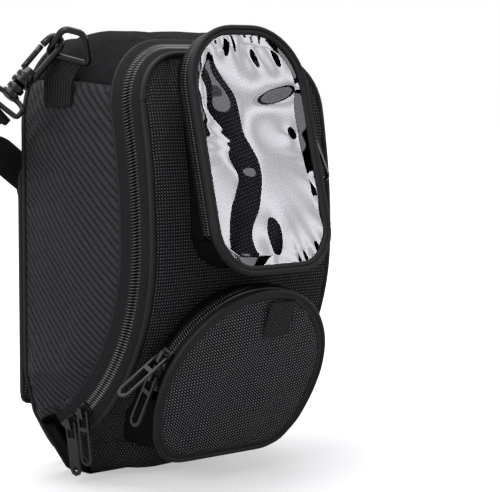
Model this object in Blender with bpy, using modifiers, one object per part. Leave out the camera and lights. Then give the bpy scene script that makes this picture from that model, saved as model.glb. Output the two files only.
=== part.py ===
"""Motorcycle tank bag that stands on its nose end, +Z up, window side facing -Y."""
import math
import bpy
import bmesh
import numpy as np
from mathutils import Matrix, Vector
from mathutils.bvhtree import BVHTree

MM = 0.001

# Clearances
GAP = 0.35
PLAY = 0.4

# Frame: the tank face of the base lies at this Y, heights are measured from it towards -Y
BASE_Y = 10.0

# Base panel and walls
BASE_HALF = 100.0
BASE_T = 3.0
BOARD_T = 2.0
BASE_SIDE_Z0 = 75.0
BASE_SIDE_Z1 = 248.0
BASE_CORNER_X = 45.0
BASE_CORNER_Z = 58.0
NOSE_HALF = 62.0
NOSE_TOP_H = 23.0
WALL_T = 3.0
WALL_BULGE = 7.0

# Main zip: flat arcs on both sides, one round corner each, straight across the rear end
ZIP_X = 84.0
ZIP_END_Z = 38.0
ZIP_END_H = 26.0
ZIP_PEAK_Z = 168.0
ZIP_PEAK_H = 107.0
ZIP_REAR_R = 450.0
ZIP_CORNER_R = 42.0
ZIP_REAR_Z = 300.0
ZIP_LEAN = math.radians(22)
TAPE_W = 11.0
TAPE_T = 1.2
COIL_W = 2.8
COIL_T = 3.0
CHAIN_GAP = 0.4

# Main lid
LID_T = 3.0
LID_CROWN = 10.0
LID_PEAK_H = ZIP_PEAK_H + LID_CROWN
LID_EDGE_GAP = 1.8
FOLD_Z = 0.0
FOLD_H = 23.8

# Phone pocket on the lid
PHONE_HALF = 53.0
PHONE_LEN = 170.0
PHONE_Z0 = 151.0
PHONE_DEPTH = 39.5
PHONE_H0 = LID_PEAK_H + PHONE_DEPTH
PHONE_SLOPE = math.radians(14)
PHONE_R_LOW = 32.0
PHONE_R_TOP = 44.0
PHONE_FRAME_T = 5.0
PHONE_RIM = 8.0
FILM_T = 1.0

# Round front pocket on the lid
ROUND_R = 73.0
ROUND_CENTRE = 57.0
ROUND_FLAT_HALF = 40.0
ROUND_Z0 = 18.0
ROUND_H0 = 95.0
ROUND_SLOPE = math.radians(-23)
ROUND_LID_T = 4.0

# Pocket walls
POCKET_WALL_T = 2.5
POCKET_TAPE = 5.2
POCKET_INSET = 2.5
FOOT_GAP = 0.7

# Sliders and pulls
SLIDER_LEN = 11.0
SLIDER_HALF = 4.4
SLIDER_T = 1.6
BRIDGE_W = 2.6
BRIDGE_H = 4.6
BRIDGE_BAR = 1.3
PULL_HALF = 4.6
PULL_LEN = 39.0
PULL_T = 1.6
PULL_BAR = 1.7

# Magnetic flaps folded flat behind the base
LINING_T = 3.2
COVER_T = 1.5
FLAP_T = LINING_T + GAP + COVER_T
FLAP_Y = BASE_Y + 0.5
FLAP_AXIS_Y = (BASE_Y + FLAP_Y) / 2
MAGNET_CUT = 5.0
MAGNET_T = 2.0

# Rings, hooks and strap
RING_BAR = 3.6
STRAP_W = 24.0
STRAP_T = 2.0


def at(x, h, z):
    """A point from its side offset, height over the base plane and height over the floor, in mm."""
    return Vector((x, BASE_Y - h, z))


for old in list(bpy.data.objects):
    bpy.data.objects.remove(old, do_unlink=True)
for block in (bpy.data.meshes, bpy.data.curves, bpy.data.materials):
    for item in list(block):
        block.remove(item)
for group in list(bpy.data.collections):
    bpy.data.collections.remove(group)

parts = bpy.data.collections.new("tank_bag")
cutters = bpy.data.collections.new("cutters")
bpy.context.scene.collection.children.link(parts)
bpy.context.scene.collection.children.link(cutters)

COLOURS = {
    "ballistic_nylon": (0.018, 0.018, 0.02, 1, 0.85, 0),
    "carbon_vinyl": (0.035, 0.034, 0.038, 1, 0.55, 0),
    "zip_tape": (0.012, 0.012, 0.013, 1, 0.9, 0),
    "zip_metal": (0.05, 0.05, 0.052, 1, 0.35, 1),
    "acetal_plastic": (0.02, 0.02, 0.021, 1, 0.4, 0),
    "clear_vinyl": (0.85, 0.87, 0.88, 1, 0.05, 0),
    "webbing": (0.02, 0.02, 0.021, 1, 0.9, 0),
    "reflective_tape": (0.6, 0.6, 0.62, 1, 0.4, 0),
    "magnet_nickel": (0.5, 0.5, 0.5, 1, 0.3, 1),
    "board_plastic": (0.06, 0.06, 0.06, 1, 0.6, 0),
}
materials = {}
for key, (r, g, b, a, rough, metal) in COLOURS.items():
    m = bpy.data.materials.new(key)
    m.use_nodes = True
    shader = m.node_tree.nodes["Principled BSDF"]
    shader.inputs["Base Color"].default_value = (r, g, b, a)
    shader.inputs["Roughness"].default_value = rough
    shader.inputs["Metallic"].default_value = metal
    materials[key] = m


def finish(name, mesh, material, origin=None, where=None):
    """Names a mesh in mm, scales it to metres and puts its origin on its joint axis."""
    work = bmesh.new()
    work.from_mesh(mesh)
    bmesh.ops.remove_doubles(work, verts=work.verts, dist=0.02)
    bmesh.ops.recalc_face_normals(work, faces=work.faces)
    base = Vector(origin) if origin is not None else Vector((0, 0, 0))
    bmesh.ops.transform(work, matrix=Matrix.Scale(MM, 4) @ Matrix.Translation(-base), verts=work.verts)
    if work.calc_volume(signed=True) < 0:
        bmesh.ops.reverse_faces(work, faces=work.faces)
    work.to_mesh(mesh)
    work.free()
    mesh.name = name
    mesh.materials.clear()
    mesh.materials.append(materials[material])
    thing = bpy.data.objects.new(name, mesh)
    thing.location = base * MM
    (where or parts).objects.link(thing)
    return thing


def baked(thing):
    """The mesh of an object with its modifiers, after which the object is removed."""
    graph = bpy.context.evaluated_depsgraph_get()
    graph.update()
    seen = thing.evaluated_get(graph)
    mesh = bpy.data.meshes.new_from_object(seen, preserve_all_data_layers=False, depsgraph=graph)
    mesh.transform(thing.matrix_world)
    data = thing.data
    bpy.data.objects.remove(thing, do_unlink=True)
    if isinstance(data, bpy.types.Curve):
        bpy.data.curves.remove(data)
    return mesh


def temporary(name, data):
    thing = bpy.data.objects.new(name, data)
    cutters.objects.link(thing)
    thing.hide_render = True
    thing.display_type = "WIRE"
    return thing


def from_faces(verts, faces):
    mesh = bpy.data.meshes.new("faces")
    mesh.from_pydata([tuple(v) for v in verts], [], faces)
    mesh.update()
    return mesh


def grid_faces(rows, cols, closed=False):
    faces = []
    for i in range(rows - 1):
        for j in range(cols if closed else cols - 1):
            k = (j + 1) % cols
            faces.append((i * cols + j, i * cols + k, (i + 1) * cols + k, (i + 1) * cols + j))
    return faces


def shell(rows, thickness):
    """A skin through rows of points, thickened to the side away from the outward normal."""
    verts = [p for row in rows for p in row]
    thing = temporary("skin", from_faces(verts, grid_faces(len(rows), len(rows[0]))))
    thicken = thing.modifiers.new("thick", "SOLIDIFY")
    thicken.thickness = thickness
    thicken.offset = -1
    thicken.use_even_offset = True
    return baked(thing)


def sweep(frames, profile, closed=False):
    """A profile of (a, b) points carried along frames of (origin, a axis, b axis)."""
    verts = [o + a * u + b * v for o, a, b in frames for u, v in profile]
    count = len(profile)
    faces = grid_faces(len(frames), count, closed=True)
    if closed:
        last = (len(frames) - 1) * count
        for j in range(count):
            k = (j + 1) % count
            faces.append((last + j, last + k, k, j))
    else:
        faces.append(tuple(range(count)))
        faces.append(tuple(reversed(range((len(frames) - 1) * count, len(frames) * count))))
    return from_faces(verts, faces)


def plate(outlines, thickness, frame):
    """A flat plate with holes. The frame is (origin, a axis, b axis), the plate is centred on it."""
    curve = bpy.data.curves.new("plate", "CURVE")
    curve.dimensions = "2D"
    curve.fill_mode = "BOTH"
    curve.extrude = thickness / 2
    for outline in outlines:
        line = curve.splines.new("POLY")
        line.points.add(len(outline) - 1)
        for point, (u, v) in zip(line.points, outline):
            point.co = (u, v, 0, 1)
        line.use_cyclic_u = True
    thing = temporary("plate", curve)
    origin, a, b = frame
    c = a.cross(b)
    thing.matrix_world = Matrix((
        (a.x, b.x, c.x, origin.x),
        (a.y, b.y, c.y, origin.y),
        (a.z, b.z, c.z, origin.z),
        (0, 0, 0, 1),
    ))
    return baked(thing)


def tube(points, radius, cyclic=False, sides=2):
    curve = bpy.data.curves.new("tube", "CURVE")
    curve.dimensions = "3D"
    curve.bevel_depth = radius
    curve.bevel_resolution = sides
    curve.use_fill_caps = True
    line = curve.splines.new("POLY")
    line.points.add(len(points) - 1)
    for point, p in zip(line.points, points):
        point.co = (p[0], p[1], p[2], 1)
    line.use_cyclic_u = cyclic
    return baked(temporary("tube", curve))


def block(size, frame):
    """A box of a given size along the frame's axes, centred on its origin."""
    half = [s / 2 for s in size]
    return plate([[(-half[0], -half[1]), (half[0], -half[1]), (half[0], half[1]), (-half[0], half[1])]],
                 size[2], frame)


def combined(mesh, others, operation):
    thing = temporary("target", mesh)
    for other in others:
        tool = temporary("tool", other)
        change = thing.modifiers.new("change", "BOOLEAN")
        change.operation = operation
        change.solver = "EXACT"
        change.object = tool
    result = baked(thing)
    for tool in [o for o in cutters.objects if o.name.startswith("tool")]:
        bpy.data.objects.remove(tool, do_unlink=True)
    return result


def mirrored(mesh):
    copy = mesh.copy()
    copy.transform(Matrix.Scale(-1, 4, (1, 0, 0)))
    copy.flip_normals()
    return copy


# Main zip track
SIDE_R = ((ZIP_PEAK_Z - ZIP_END_Z) ** 2 + (ZIP_PEAK_H - ZIP_END_H) ** 2) / (2 * (ZIP_PEAK_H - ZIP_END_H))
ARC_H = ZIP_PEAK_H - SIDE_R
CORNER_Z = ZIP_REAR_Z - ZIP_CORNER_R
CORNER_X = ZIP_X - ZIP_CORNER_R


def zip_height(z):
    r = SIDE_R if z < ZIP_PEAK_Z else ZIP_REAR_R
    return ZIP_PEAK_H - r + math.sqrt(r * r - (z - ZIP_PEAK_Z) ** 2)


def base_edge(z):
    """Half width of the base outline at a height over the floor."""
    if z < 45:
        return NOSE_HALF + (92 - NOSE_HALF) * z / 45
    if z < BASE_SIDE_Z0:
        return 92 + (BASE_HALF - 92) * (z - 45) / (BASE_SIDE_Z0 - 45)
    if z <= BASE_SIDE_Z1:
        return BASE_HALF
    t = min(1, (z - BASE_SIDE_Z1) / BASE_CORNER_Z)
    return BASE_HALF - BASE_CORNER_X + BASE_CORNER_X * math.sqrt(max(0, 1 - t * t))


def track(kind, value):
    """A point of the left half of the track: its place, plan normal, wall top direction and base point."""
    if kind == "side":
        z = value
        x = -ZIP_X
        normal = Vector((-1, 0, 0))
        base = at(-base_edge(z), 0, z)
    elif kind == "corner":
        x = -CORNER_X - ZIP_CORNER_R * math.cos(value)
        z = CORNER_Z + ZIP_CORNER_R * math.sin(value)
        normal = Vector((-math.cos(value), 0, math.sin(value)))
        base = at(-(BASE_HALF - BASE_CORNER_X) - BASE_CORNER_X * math.cos(value), 0,
                  BASE_SIDE_Z1 + BASE_CORNER_Z * math.sin(value))
    else:
        x = value
        z = ZIP_REAR_Z
        normal = Vector((0, 0, 1))
        base = at(value * (BASE_HALF - BASE_CORNER_X) / CORNER_X, 0, BASE_SIDE_Z1 + BASE_CORNER_Z)
    h = zip_height(z)
    slope = (z - ZIP_PEAK_Z) / ((SIDE_R if z < ZIP_PEAK_Z else ZIP_REAR_R))
    rise = Vector((0, -math.sqrt(1 - slope * slope), slope))
    if kind != "side":
        flat = Vector((0, -1, 0))
        mix = math.sin(value) if kind == "corner" else 1.0
        rise = (rise * (1 - mix) + flat * mix).normalized()
    along = rise * math.cos(ZIP_LEAN) - normal * math.sin(ZIP_LEAN)
    out = normal * math.cos(ZIP_LEAN) + rise * math.sin(ZIP_LEAN)
    return at(x, h, z), along, out, normal, base


SIDE_STEPS = [ZIP_END_Z, 48, 60, 78, 100, 130, 168, 205, 235, CORNER_Z]
CORNER_STEPS = [math.radians(a) for a in (15, 30, 45, 60, 75, 90)]
left_run = [track("side", z) for z in SIDE_STEPS] + [track("corner", a) for a in CORNER_STEPS]


def flip(station):
    return tuple(Vector((-v.x, v.y, v.z)) for v in station)


whole_run = left_run + [track("rear", 0.0)] + [flip(s) for s in reversed(left_run)]


def wall_rows(stations):
    """Outer skin of a side or end wall from the base panel up to the zip tape."""
    rows = []
    for place, along, out, normal, base in stations:
        top = place - along * (TAPE_W + GAP)
        foot = base + Vector((0, -(BASE_T + GAP), 0))
        row = []
        for t in (0.0, 0.3, 0.65, 1.0):
            bulge = WALL_BULGE * math.sin(math.pi * t) * (1 - 0.3 * t)
            row.append(foot.lerp(top, t) + normal * bulge)
        rows.append(row)
    return rows


def nudged(station, shift):
    """A station moved a little along the wall for a seam."""
    place, along, out, normal, base = station
    step = normal.cross(Vector((0, 1, 0))).normalized() * shift
    return place + step, along, out, normal, base + step


SEAM = len(SIDE_STEPS) + 2
SEAM_GAP = 1.2
left_wall = [s for s in left_run[:SEAM]] + [left_run[SEAM]]
rear_first = nudged(left_run[SEAM], -SEAM_GAP)
rear_wall = [rear_first] + left_run[SEAM + 1:] + [track("rear", 0.0)]
rear_wall = rear_wall + [flip(s) for s in reversed(rear_wall[:-1])]
left_side = shell(wall_rows(left_wall), WALL_T)
finish("right_side_panel", mirrored(left_side), "carbon_vinyl")
finish("left_side_panel", left_side, "carbon_vinyl")
finish("rear_wall", shell(wall_rows(rear_wall), WALL_T), "carbon_vinyl")

# Base panel, board and nose
outline = []
for z in (0.0, 20.0, 45.0, 60.0, BASE_SIDE_Z0, 130.0, 190.0, BASE_SIDE_Z1):
    outline.append((-base_edge(z), z))
for a in (15, 30, 45, 60, 75, 90):
    outline.append((-(BASE_HALF - BASE_CORNER_X) - BASE_CORNER_X * math.cos(math.radians(a)),
                    BASE_SIDE_Z1 + BASE_CORNER_Z * math.sin(math.radians(a))))
base_outline = outline + [(-x, z) for x, z in reversed(outline)]
X_AXIS = Vector((1, 0, 0))
Z_AXIS = Vector((0, 0, 1))
finish("base_panel", plate([base_outline], BASE_T, (at(0, BASE_T / 2, 0), X_AXIS, Z_AXIS)), "ballistic_nylon")
board = [(x * 0.9, 8 + (z - 4) * 0.93) for x, z in base_outline]
finish("base_board", plate([board], BOARD_T, (at(0, BASE_T + GAP + BOARD_T / 2, 0), X_AXIS, Z_AXIS)),
       "board_plastic")
nose_plan = [(-base_edge(z), z) for z in (ZIP_END_Z - 1.5, 24.0, 12.0, 0.0)]
nose_plan = nose_plan + [(0.0, 0.0)] + [(-x, z) for x, z in reversed(nose_plan)]
nose_rows = []
for x, z in nose_plan:
    top = NOSE_TOP_H if abs(x) < NOSE_HALF + 10 else 16.0
    nose_rows.append([at(x, top, z), at(x, (BASE_T + GAP + top) / 2, z), at(x, BASE_T + GAP, z)])
finish("front_nose", shell(nose_rows, WALL_T), "ballistic_nylon")

# Main zip halves
half_coil = COIL_T / 2
half_tape = TAPE_T / 2


def zip_half(side, width=TAPE_W):
    shape = [(CHAIN_GAP, -half_coil), (COIL_W, -half_coil), (COIL_W, -half_tape), (width, -half_tape),
             (width, half_tape), (COIL_W, half_tape), (COIL_W, half_coil), (CHAIN_GAP, half_coil)]
    return [(side * u, v) for u, v in shape]


lid_origin = at(0, FOLD_H, FOLD_Z)
main_frames = [(p, a, o) for p, a, o, n, b in whole_run]
finish("main_zip_body_half", sweep(main_frames, zip_half(-1)), "zip_tape")
finish("main_zip_lid_half", sweep(main_frames, zip_half(1)), "zip_tape", lid_origin)

# Main lid: rows across the bag from the fold at the nose to the rear end


def lid_mid_height(z):
    """Height of the lid's middle line over the base plane."""
    return float(np.interp(z, [0.6, 1.2, 9, 24, 45, 75, 110, 168, 235, 300],
                           [25, 40, 54, 68, 82, 98, LID_PEAK_H - 6, LID_PEAK_H, LID_PEAK_H - 8, 92]))


lid_rows = []
for z, half, edge in ((0.6, 58.0, 24.6), (1.2, 60.0, 24.6), (9.0, 66.0, 24.6), (24.0, 76.0, 24.6)):
    mid = lid_mid_height(z)
    lid_rows.append([at(half * t, edge + (mid - edge) * (1 - abs(t) ** 3), z + 1.5 * abs(t))
                     for t in (-1, -0.85, -0.6, -0.3, 0, 0.3, 0.6, 0.85, 1)])
for place, along, out, normal, base in left_run:
    edge = place + along * (TAPE_W + LID_EDGE_GAP)
    z = edge.z
    mid = lid_mid_height(z)
    edge_h = BASE_Y - edge.y
    row = []
    for t in (-1, -0.85, -0.6, -0.3, 0, 0.3, 0.6, 0.85, 1):
        row.append(at(-edge.x * t, edge_h + max(0.0, mid - edge_h) * (1 - abs(t) ** 2.4), z))
    lid_rows.append(row)
lid_mesh = shell(lid_rows, LID_T)
lid_tree = BVHTree.FromPolygons([v.co.copy() for v in lid_mesh.vertices],
                                [tuple(f.vertices) for f in lid_mesh.polygons])
finish("lid_panel", lid_mesh, "ballistic_nylon", lid_origin)


# Pockets: flat lids with their outline in the slope's own plane
def slope_frame(z0, h0, slope):
    up = Vector((0, math.sin(slope), math.cos(slope)))
    out = Vector((0, -math.cos(slope), math.sin(slope)))
    return at(0, h0, z0), X_AXIS, up, out


def rounded(half, low, high, r_low, r_top, steps=5):
    points = []
    corners = ((half - r_low, low + r_low, r_low, -90), (half - r_top, high - r_top, r_top, 0),
               (-half + r_top, high - r_top, r_top, 90), (-half + r_low, low + r_low, r_low, 180))
    for x, q, r, first in corners:
        for k in range(steps + 1):
            t = math.radians(first + 90 * k / steps)
            points.append((x + r * math.cos(t), q + r * math.sin(t)))
    return points


def shrunk(points, amount):
    """An outline moved inwards by an amount."""
    result = []
    count = len(points)
    for i, (x, y) in enumerate(points):
        ax, ay = points[i - 1]
        bx, by = points[(i + 1) % count]
        tx, ty = bx - ax, by - ay
        size = math.hypot(tx, ty)
        result.append((x - amount * ty / size, y + amount * tx / size))
    return result


phone_frame = slope_frame(PHONE_Z0, PHONE_H0, PHONE_SLOPE)
phone_line = rounded(PHONE_HALF, 0.0, PHONE_LEN, PHONE_R_LOW, PHONE_R_TOP)
round_frame = slope_frame(ROUND_Z0, ROUND_H0, ROUND_SLOPE)
round_line = [(ROUND_FLAT_HALF, 0.0), (54.0, 5.0), (65.5, 20.0), (71.5, 40.0)]
round_line += [(ROUND_R * math.cos(math.radians(a)), ROUND_CENTRE + ROUND_R * math.sin(math.radians(a)))
               for a in range(0, 91, 10)]
round_line = round_line + [(-x, q) for x, q in reversed(round_line[:-1])]


def resampled(points, step):
    """An outline with its long sides cut into shorter ones."""
    result = []
    for (ax, ay), (bx, by) in zip(points, points[1:] + points[:1]):
        count = max(1, math.ceil(math.hypot(bx - ax, by - ay) / step))
        result += [(ax + (bx - ax) * k / count, ay + (by - ay) * k / count) for k in range(count)]
    return result


def lid_surface(x, z):
    """The lid panel's outer surface under a place, seen from the window side."""
    hit = None
    while hit is None:
        hit = lid_tree.ray_cast(Vector((x, -300.0, z)), Vector((0, 1, 0)))[0]
        z += 1.0 if z < 100 else -1.0
        x *= 0.995
    return hit


def pocket_wall(points, frame, depth_of, inset, low_z, high_z, foot_gap):
    """A pocket's side wall from under its zip or hinge down to the lid panel."""
    origin, a, up, out = frame
    n = len(points)
    verts = []
    for line in (shrunk(points, inset), shrunk(points, inset + POCKET_WALL_T)):
        tops = [origin + a * x + up * q - out * depth_of(x, q) for x, q in line]
        verts += tops
        for top in tops:
            hit = lid_surface(top.x, min(high_z, max(low_z, top.z)))
            verts.append(hit + Vector((0, -foot_gap, 0)))
    faces = []
    for j in range(n):
        k = (j + 1) % n
        faces.append((j, k, n + k, n + j))
        faces.append((2 * n + k, 2 * n + j, 3 * n + j, 3 * n + k))
        faces.append((k, j, 2 * n + j, 2 * n + k))
        faces.append((n + j, n + k, 3 * n + k, 3 * n + j))
    return from_faces(verts, faces)


def band_stations(line, frame, depth):
    """Frames for a pocket's zip along an open run of its outline."""
    origin, a, up, out = frame
    stations = []
    for i, (x, q) in enumerate(line):
        ax, aq = line[max(0, i - 1)]
        bx, bq = line[min(len(line) - 1, i + 1)]
        side = (a * (bq - aq) - up * (bx - ax)).normalized()
        stations.append((origin + a * x + up * q - out * depth, out, side))
    return stations


# Phone pocket: wall on the lid, zip on three sides, framed window hinged at its lower edge
PHONE_CHAIN = PHONE_FRAME_T + GAP + POCKET_TAPE
PHONE_WALL_TOP = PHONE_CHAIN + POCKET_TAPE + GAP


def phone_depth(x, q):
    return PHONE_WALL_TOP if q > 24 else PHONE_FRAME_T + GAP


phone_origin = phone_frame[0] - phone_frame[3] * (PHONE_FRAME_T + GAP / 2)
phone_wall = pocket_wall(resampled(phone_line, 18.0), phone_frame, phone_depth, POCKET_INSET + 2.0,
                         5.0, 294.0, FOOT_GAP)
finish("phone_pocket_wall", phone_wall, "ballistic_nylon", lid_origin)
phone_zip_line = shrunk(phone_line, POCKET_INSET)[5:19]
phone_band = band_stations(phone_zip_line, phone_frame, PHONE_CHAIN)
finish("phone_zip_wall_half", sweep(phone_band, zip_half(-1, POCKET_TAPE)), "zip_tape", lid_origin)
finish("phone_zip_lid_half", sweep(phone_band, zip_half(1, POCKET_TAPE)), "zip_tape", phone_origin)
window_line = shrunk(phone_line, PHONE_RIM)
frame_mid = (phone_frame[0] - phone_frame[3] * (PHONE_FRAME_T / 2), X_AXIS, phone_frame[2])
finish("phone_lid_frame", plate([phone_line, window_line], PHONE_FRAME_T, frame_mid), "ballistic_nylon",
       phone_origin)
finish("phone_window", plate([shrunk(window_line, GAP)], FILM_T, frame_mid), "clear_vinyl", phone_origin)

# Round front pocket: wall on the lid, zip round its arch, woven lid hinged at its straight edge
ROUND_CHAIN = ROUND_LID_T + GAP + POCKET_TAPE
ROUND_WALL_TOP = ROUND_CHAIN + POCKET_TAPE + GAP


def round_depth(x, q):
    return ROUND_WALL_TOP if q > ROUND_CENTRE - 8 else ROUND_LID_T + GAP


round_origin = round_frame[0] - round_frame[3] * (ROUND_LID_T + GAP / 2)
round_wall = pocket_wall(resampled(round_line, 16.0), round_frame, round_depth, POCKET_INSET + 2.0,
                         4.0, 290.0, FOOT_GAP + 1.2)
finish("round_pocket_wall", round_wall, "ballistic_nylon", lid_origin)
ROUND_ZIP_R = ROUND_R - POCKET_INSET
round_zip_line = [(ROUND_ZIP_R * math.cos(math.radians(t)),
                   ROUND_CENTRE + ROUND_ZIP_R * math.sin(math.radians(t)))
                  for t in range(0, 181, 9)]
round_band = band_stations(round_zip_line, round_frame, ROUND_CHAIN)
finish("round_zip_wall_half", sweep(round_band, zip_half(-1, POCKET_TAPE)), "zip_tape", lid_origin)
finish("round_zip_lid_half", sweep(round_band, zip_half(1, POCKET_TAPE)), "zip_tape", round_origin)
round_mid = (round_frame[0] - round_frame[3] * (ROUND_LID_T / 2), X_AXIS, round_frame[2])
finish("round_pocket_lid", plate([round_line], ROUND_LID_T, round_mid), "ballistic_nylon", round_origin)
TAB_X = 14.0
TAB_Q = 108.0
tab_mid = (round_frame[0] + X_AXIS * TAB_X + round_frame[2] * TAB_Q + round_frame[3] * (GAP + 0.9), X_AXIS,
           round_frame[2])
finish("round_pocket_tab", block((23.0, 27.0, 1.8), tab_mid), "webbing", round_origin)


# Zip sliders with a bridge, and pulls that swing under the bridge
def slider_solid(stations, middle, long_axis):
    top = half_coil + PLAY + SLIDER_T
    shoe = sweep(stations, [(-SLIDER_HALF, half_coil + PLAY), (COIL_W + PLAY, half_coil + PLAY),
                            (COIL_W + PLAY, half_tape + PLAY), (SLIDER_HALF, half_tape + PLAY),
                            (SLIDER_HALF, top), (-SLIDER_HALF, top)])
    place, out = middle
    half = 4.0
    arch = [(-half, -0.5), (-half, BRIDGE_H), (half, BRIDGE_H), (half, -0.5), (half - BRIDGE_BAR, -0.5),
            (half - BRIDGE_BAR, BRIDGE_H - BRIDGE_BAR), (-half + BRIDGE_BAR, BRIDGE_H - BRIDGE_BAR),
            (-half + BRIDGE_BAR, -0.5)]
    bridge = plate([arch], BRIDGE_W, (place + out * top, long_axis, out))
    return combined(shoe, [bridge], "UNION")


PULL_RISE = half_coil + PLAY + SLIDER_T + (BRIDGE_H - BRIDGE_BAR) / 2


def pull_solid(axis_point, bar, hang, loop):
    end = PULL_LEN
    w = PULL_HALF
    outer = [(-w, -PULL_BAR / 2), (w, -PULL_BAR / 2), (w, end - w), (w * 0.7, end - w * 0.3), (0, end),
             (-w * 0.7, end - w * 0.3), (-w, end - w)]
    inner = w - 1.5
    eye = [(-inner, PULL_BAR / 2), (inner, PULL_BAR / 2), (inner, 11.0), (-inner, 11.0)]
    if loop:
        low = [(-inner, 14.0), (inner, 14.0), (inner, end - w), (0, end - 1.8), (-inner, end - w)]
    else:
        low = [(2.1 * math.cos(t * math.pi / 4), end - 5.0 + 2.1 * math.sin(t * math.pi / 4))
               for t in range(8)]
    return plate([outer, eye, low], PULL_T, (axis_point, bar, hang))


def arc_stations(kind, angles):
    """Stations on the flat arc of the main zip's left side or on the round pocket's arch."""
    stations = []
    for t in angles:
        if kind == "main":
            rise = Vector((0, -math.cos(t), -math.sin(t)))
            place = at(-ZIP_X, ARC_H, ZIP_PEAK_Z) + rise * SIDE_R
            normal = Vector((-1, 0, 0))
            along = rise * math.cos(ZIP_LEAN) - normal * math.sin(ZIP_LEAN)
            out = normal * math.cos(ZIP_LEAN) + rise * math.sin(ZIP_LEAN)
            stations.append((place, along, out))
        else:
            origin, a, up, out = round_frame
            side = a * math.cos(t) + up * math.sin(t)
            place = origin + up * ROUND_CENTRE + side * (ROUND_R - POCKET_INSET) - out * ROUND_CHAIN
            stations.append((place, out, side))
    return stations


def slider_on_arc(kind, middle, radius):
    half = SLIDER_LEN / 2 / radius
    stations = arc_stations(kind, [middle - half, middle, middle + half])
    place, along, out = stations[1]
    return stations, place, along, out


def hung(bar, out, tilt, wanted):
    """The hanging direction across a bar that comes nearest to a wanted one, tilted off the surface."""
    flat = (wanted - out * wanted.dot(out))
    flat = (flat - bar * flat.dot(bar)).normalized()
    return (flat * math.cos(tilt) + out * math.sin(tilt)).normalized()


DOWN = Vector((0, 0, -1))
MAIN_FIRST = math.radians(58.5)
MAIN_SECOND = math.radians(52.0)
for name, angle, loop in (("first", MAIN_FIRST, False), ("second", MAIN_SECOND, True)):
    stations, place, along, out = slider_on_arc("main", angle, SIDE_R)
    upright = (Z_AXIS - out * Z_AXIS.dot(out)).normalized()
    bar = out.cross(upright)
    finish("main_slider_" + name, slider_solid(stations, (place, out), upright), "zip_metal",
           at(-ZIP_X, ARC_H, ZIP_PEAK_Z))
    axis_point = place + out * PULL_RISE
    hang = hung(bar, out, math.radians(10), DOWN)
    finish("main_pull_" + name, pull_solid(axis_point, bar, hang, loop), "acetal_plastic", axis_point)
round_middle = round_frame[0] + round_frame[2] * ROUND_CENTRE - round_frame[3] * ROUND_CHAIN
ROUND_FIRST = math.radians(172.0)
ROUND_SECOND = math.radians(161.0)
for name, angle, tilt in (("first", ROUND_FIRST, 0), ("second", ROUND_SECOND, 28)):
    stations, place, along, out = slider_on_arc("round", angle, ROUND_R - POCKET_INSET)
    run = along.cross(out).normalized()
    finish("round_slider_" + name, slider_solid(stations, (place, out), run), "zip_metal", round_middle)
    axis_point = place + out * PULL_RISE
    hang = hung(along, out, math.radians(tilt), DOWN)
    finish("round_pull_" + name, pull_solid(axis_point, along, hang, True), "acetal_plastic", axis_point)
for name, q, tilt in (("first", 80.0, 2), ("second", 100.0, 15)):
    origin, a, up, out = phone_frame
    spots = [origin + a * (PHONE_HALF - POCKET_INSET) + up * (q + d) - out * PHONE_CHAIN
             for d in (-SLIDER_LEN / 2, 0.0, SLIDER_LEN / 2)]
    stations = [(p, out, a) for p in spots]
    finish("phone_slider_" + name, slider_solid(stations, (spots[1], a), up), "zip_metal", spots[1])
    axis_point = spots[1] + a * PULL_RISE
    hang = hung(out, a, math.radians(tilt), DOWN)
    finish("phone_pull_" + name, pull_solid(axis_point, out, hang, True), "acetal_plastic", axis_point)


# Magnetic flaps: a lining with recesses, magnets and a cover, folded flat behind the base
def rectangle(x, z, width, height, cut):
    """A plate outline with its corners cut off."""
    a, b = width / 2, height / 2
    corners = [(-a + cut, -b), (a - cut, -b), (a, -b + cut), (a, b - cut), (a - cut, b), (-a + cut, b),
               (-a, b - cut), (-a, -b + cut)]
    return [(x + u, z + v) for u, v in corners]


def flap(name, outline, axis, magnet, piping=None):
    y0 = FLAP_Y
    lining_mid = Vector((0, y0 + LINING_T / 2, 0))
    lining = plate([outline], LINING_T, (lining_mid, X_AXIS, Z_AXIS))
    x, z, width, height = magnet
    depth = MAGNET_T + PLAY
    recess_mid = Vector((0, y0 + LINING_T - depth / 2 + 0.5, 0))
    recess = plate([rectangle(x, z, width + 2 * PLAY, height + 2 * PLAY, MAGNET_CUT)], depth + 1.0,
                   (recess_mid, X_AXIS, Z_AXIS))
    finish(name + "_lining", combined(lining, [recess], "DIFFERENCE"), "ballistic_nylon", axis)
    magnet_mid = Vector((0, y0 + LINING_T - MAGNET_T / 2 - PLAY / 2, 0))
    finish(name + "_magnet", plate([rectangle(x, z, width, height, MAGNET_CUT)], MAGNET_T,
                                   (magnet_mid, X_AXIS, Z_AXIS)), "magnet_nickel", axis)
    cover_mid = Vector((0, y0 + LINING_T + GAP + COVER_T / 2, 0))
    finish(name + "_cover", plate([outline], COVER_T, (cover_mid, X_AXIS, Z_AXIS)), "ballistic_nylon", axis)
    if piping:
        face = y0 + FLAP_T + GAP
        frames = []
        for i, (x, z) in enumerate(piping):
            ax, az = piping[max(0, i - 1)]
            bx, bz = piping[min(len(piping) - 1, i + 1)]
            side = Vector((bz - az, 0, ax - bx)).normalized()
            frames.append((Vector((x, face, z)), side, Vector((0, 1, 0))))
        strip = sweep(frames, [(-1.4, 0), (1.4, 0), (0.8, 1.1), (-0.8, 1.1)])
        finish(name + "_piping", strip, "reflective_tape", axis)


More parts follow.
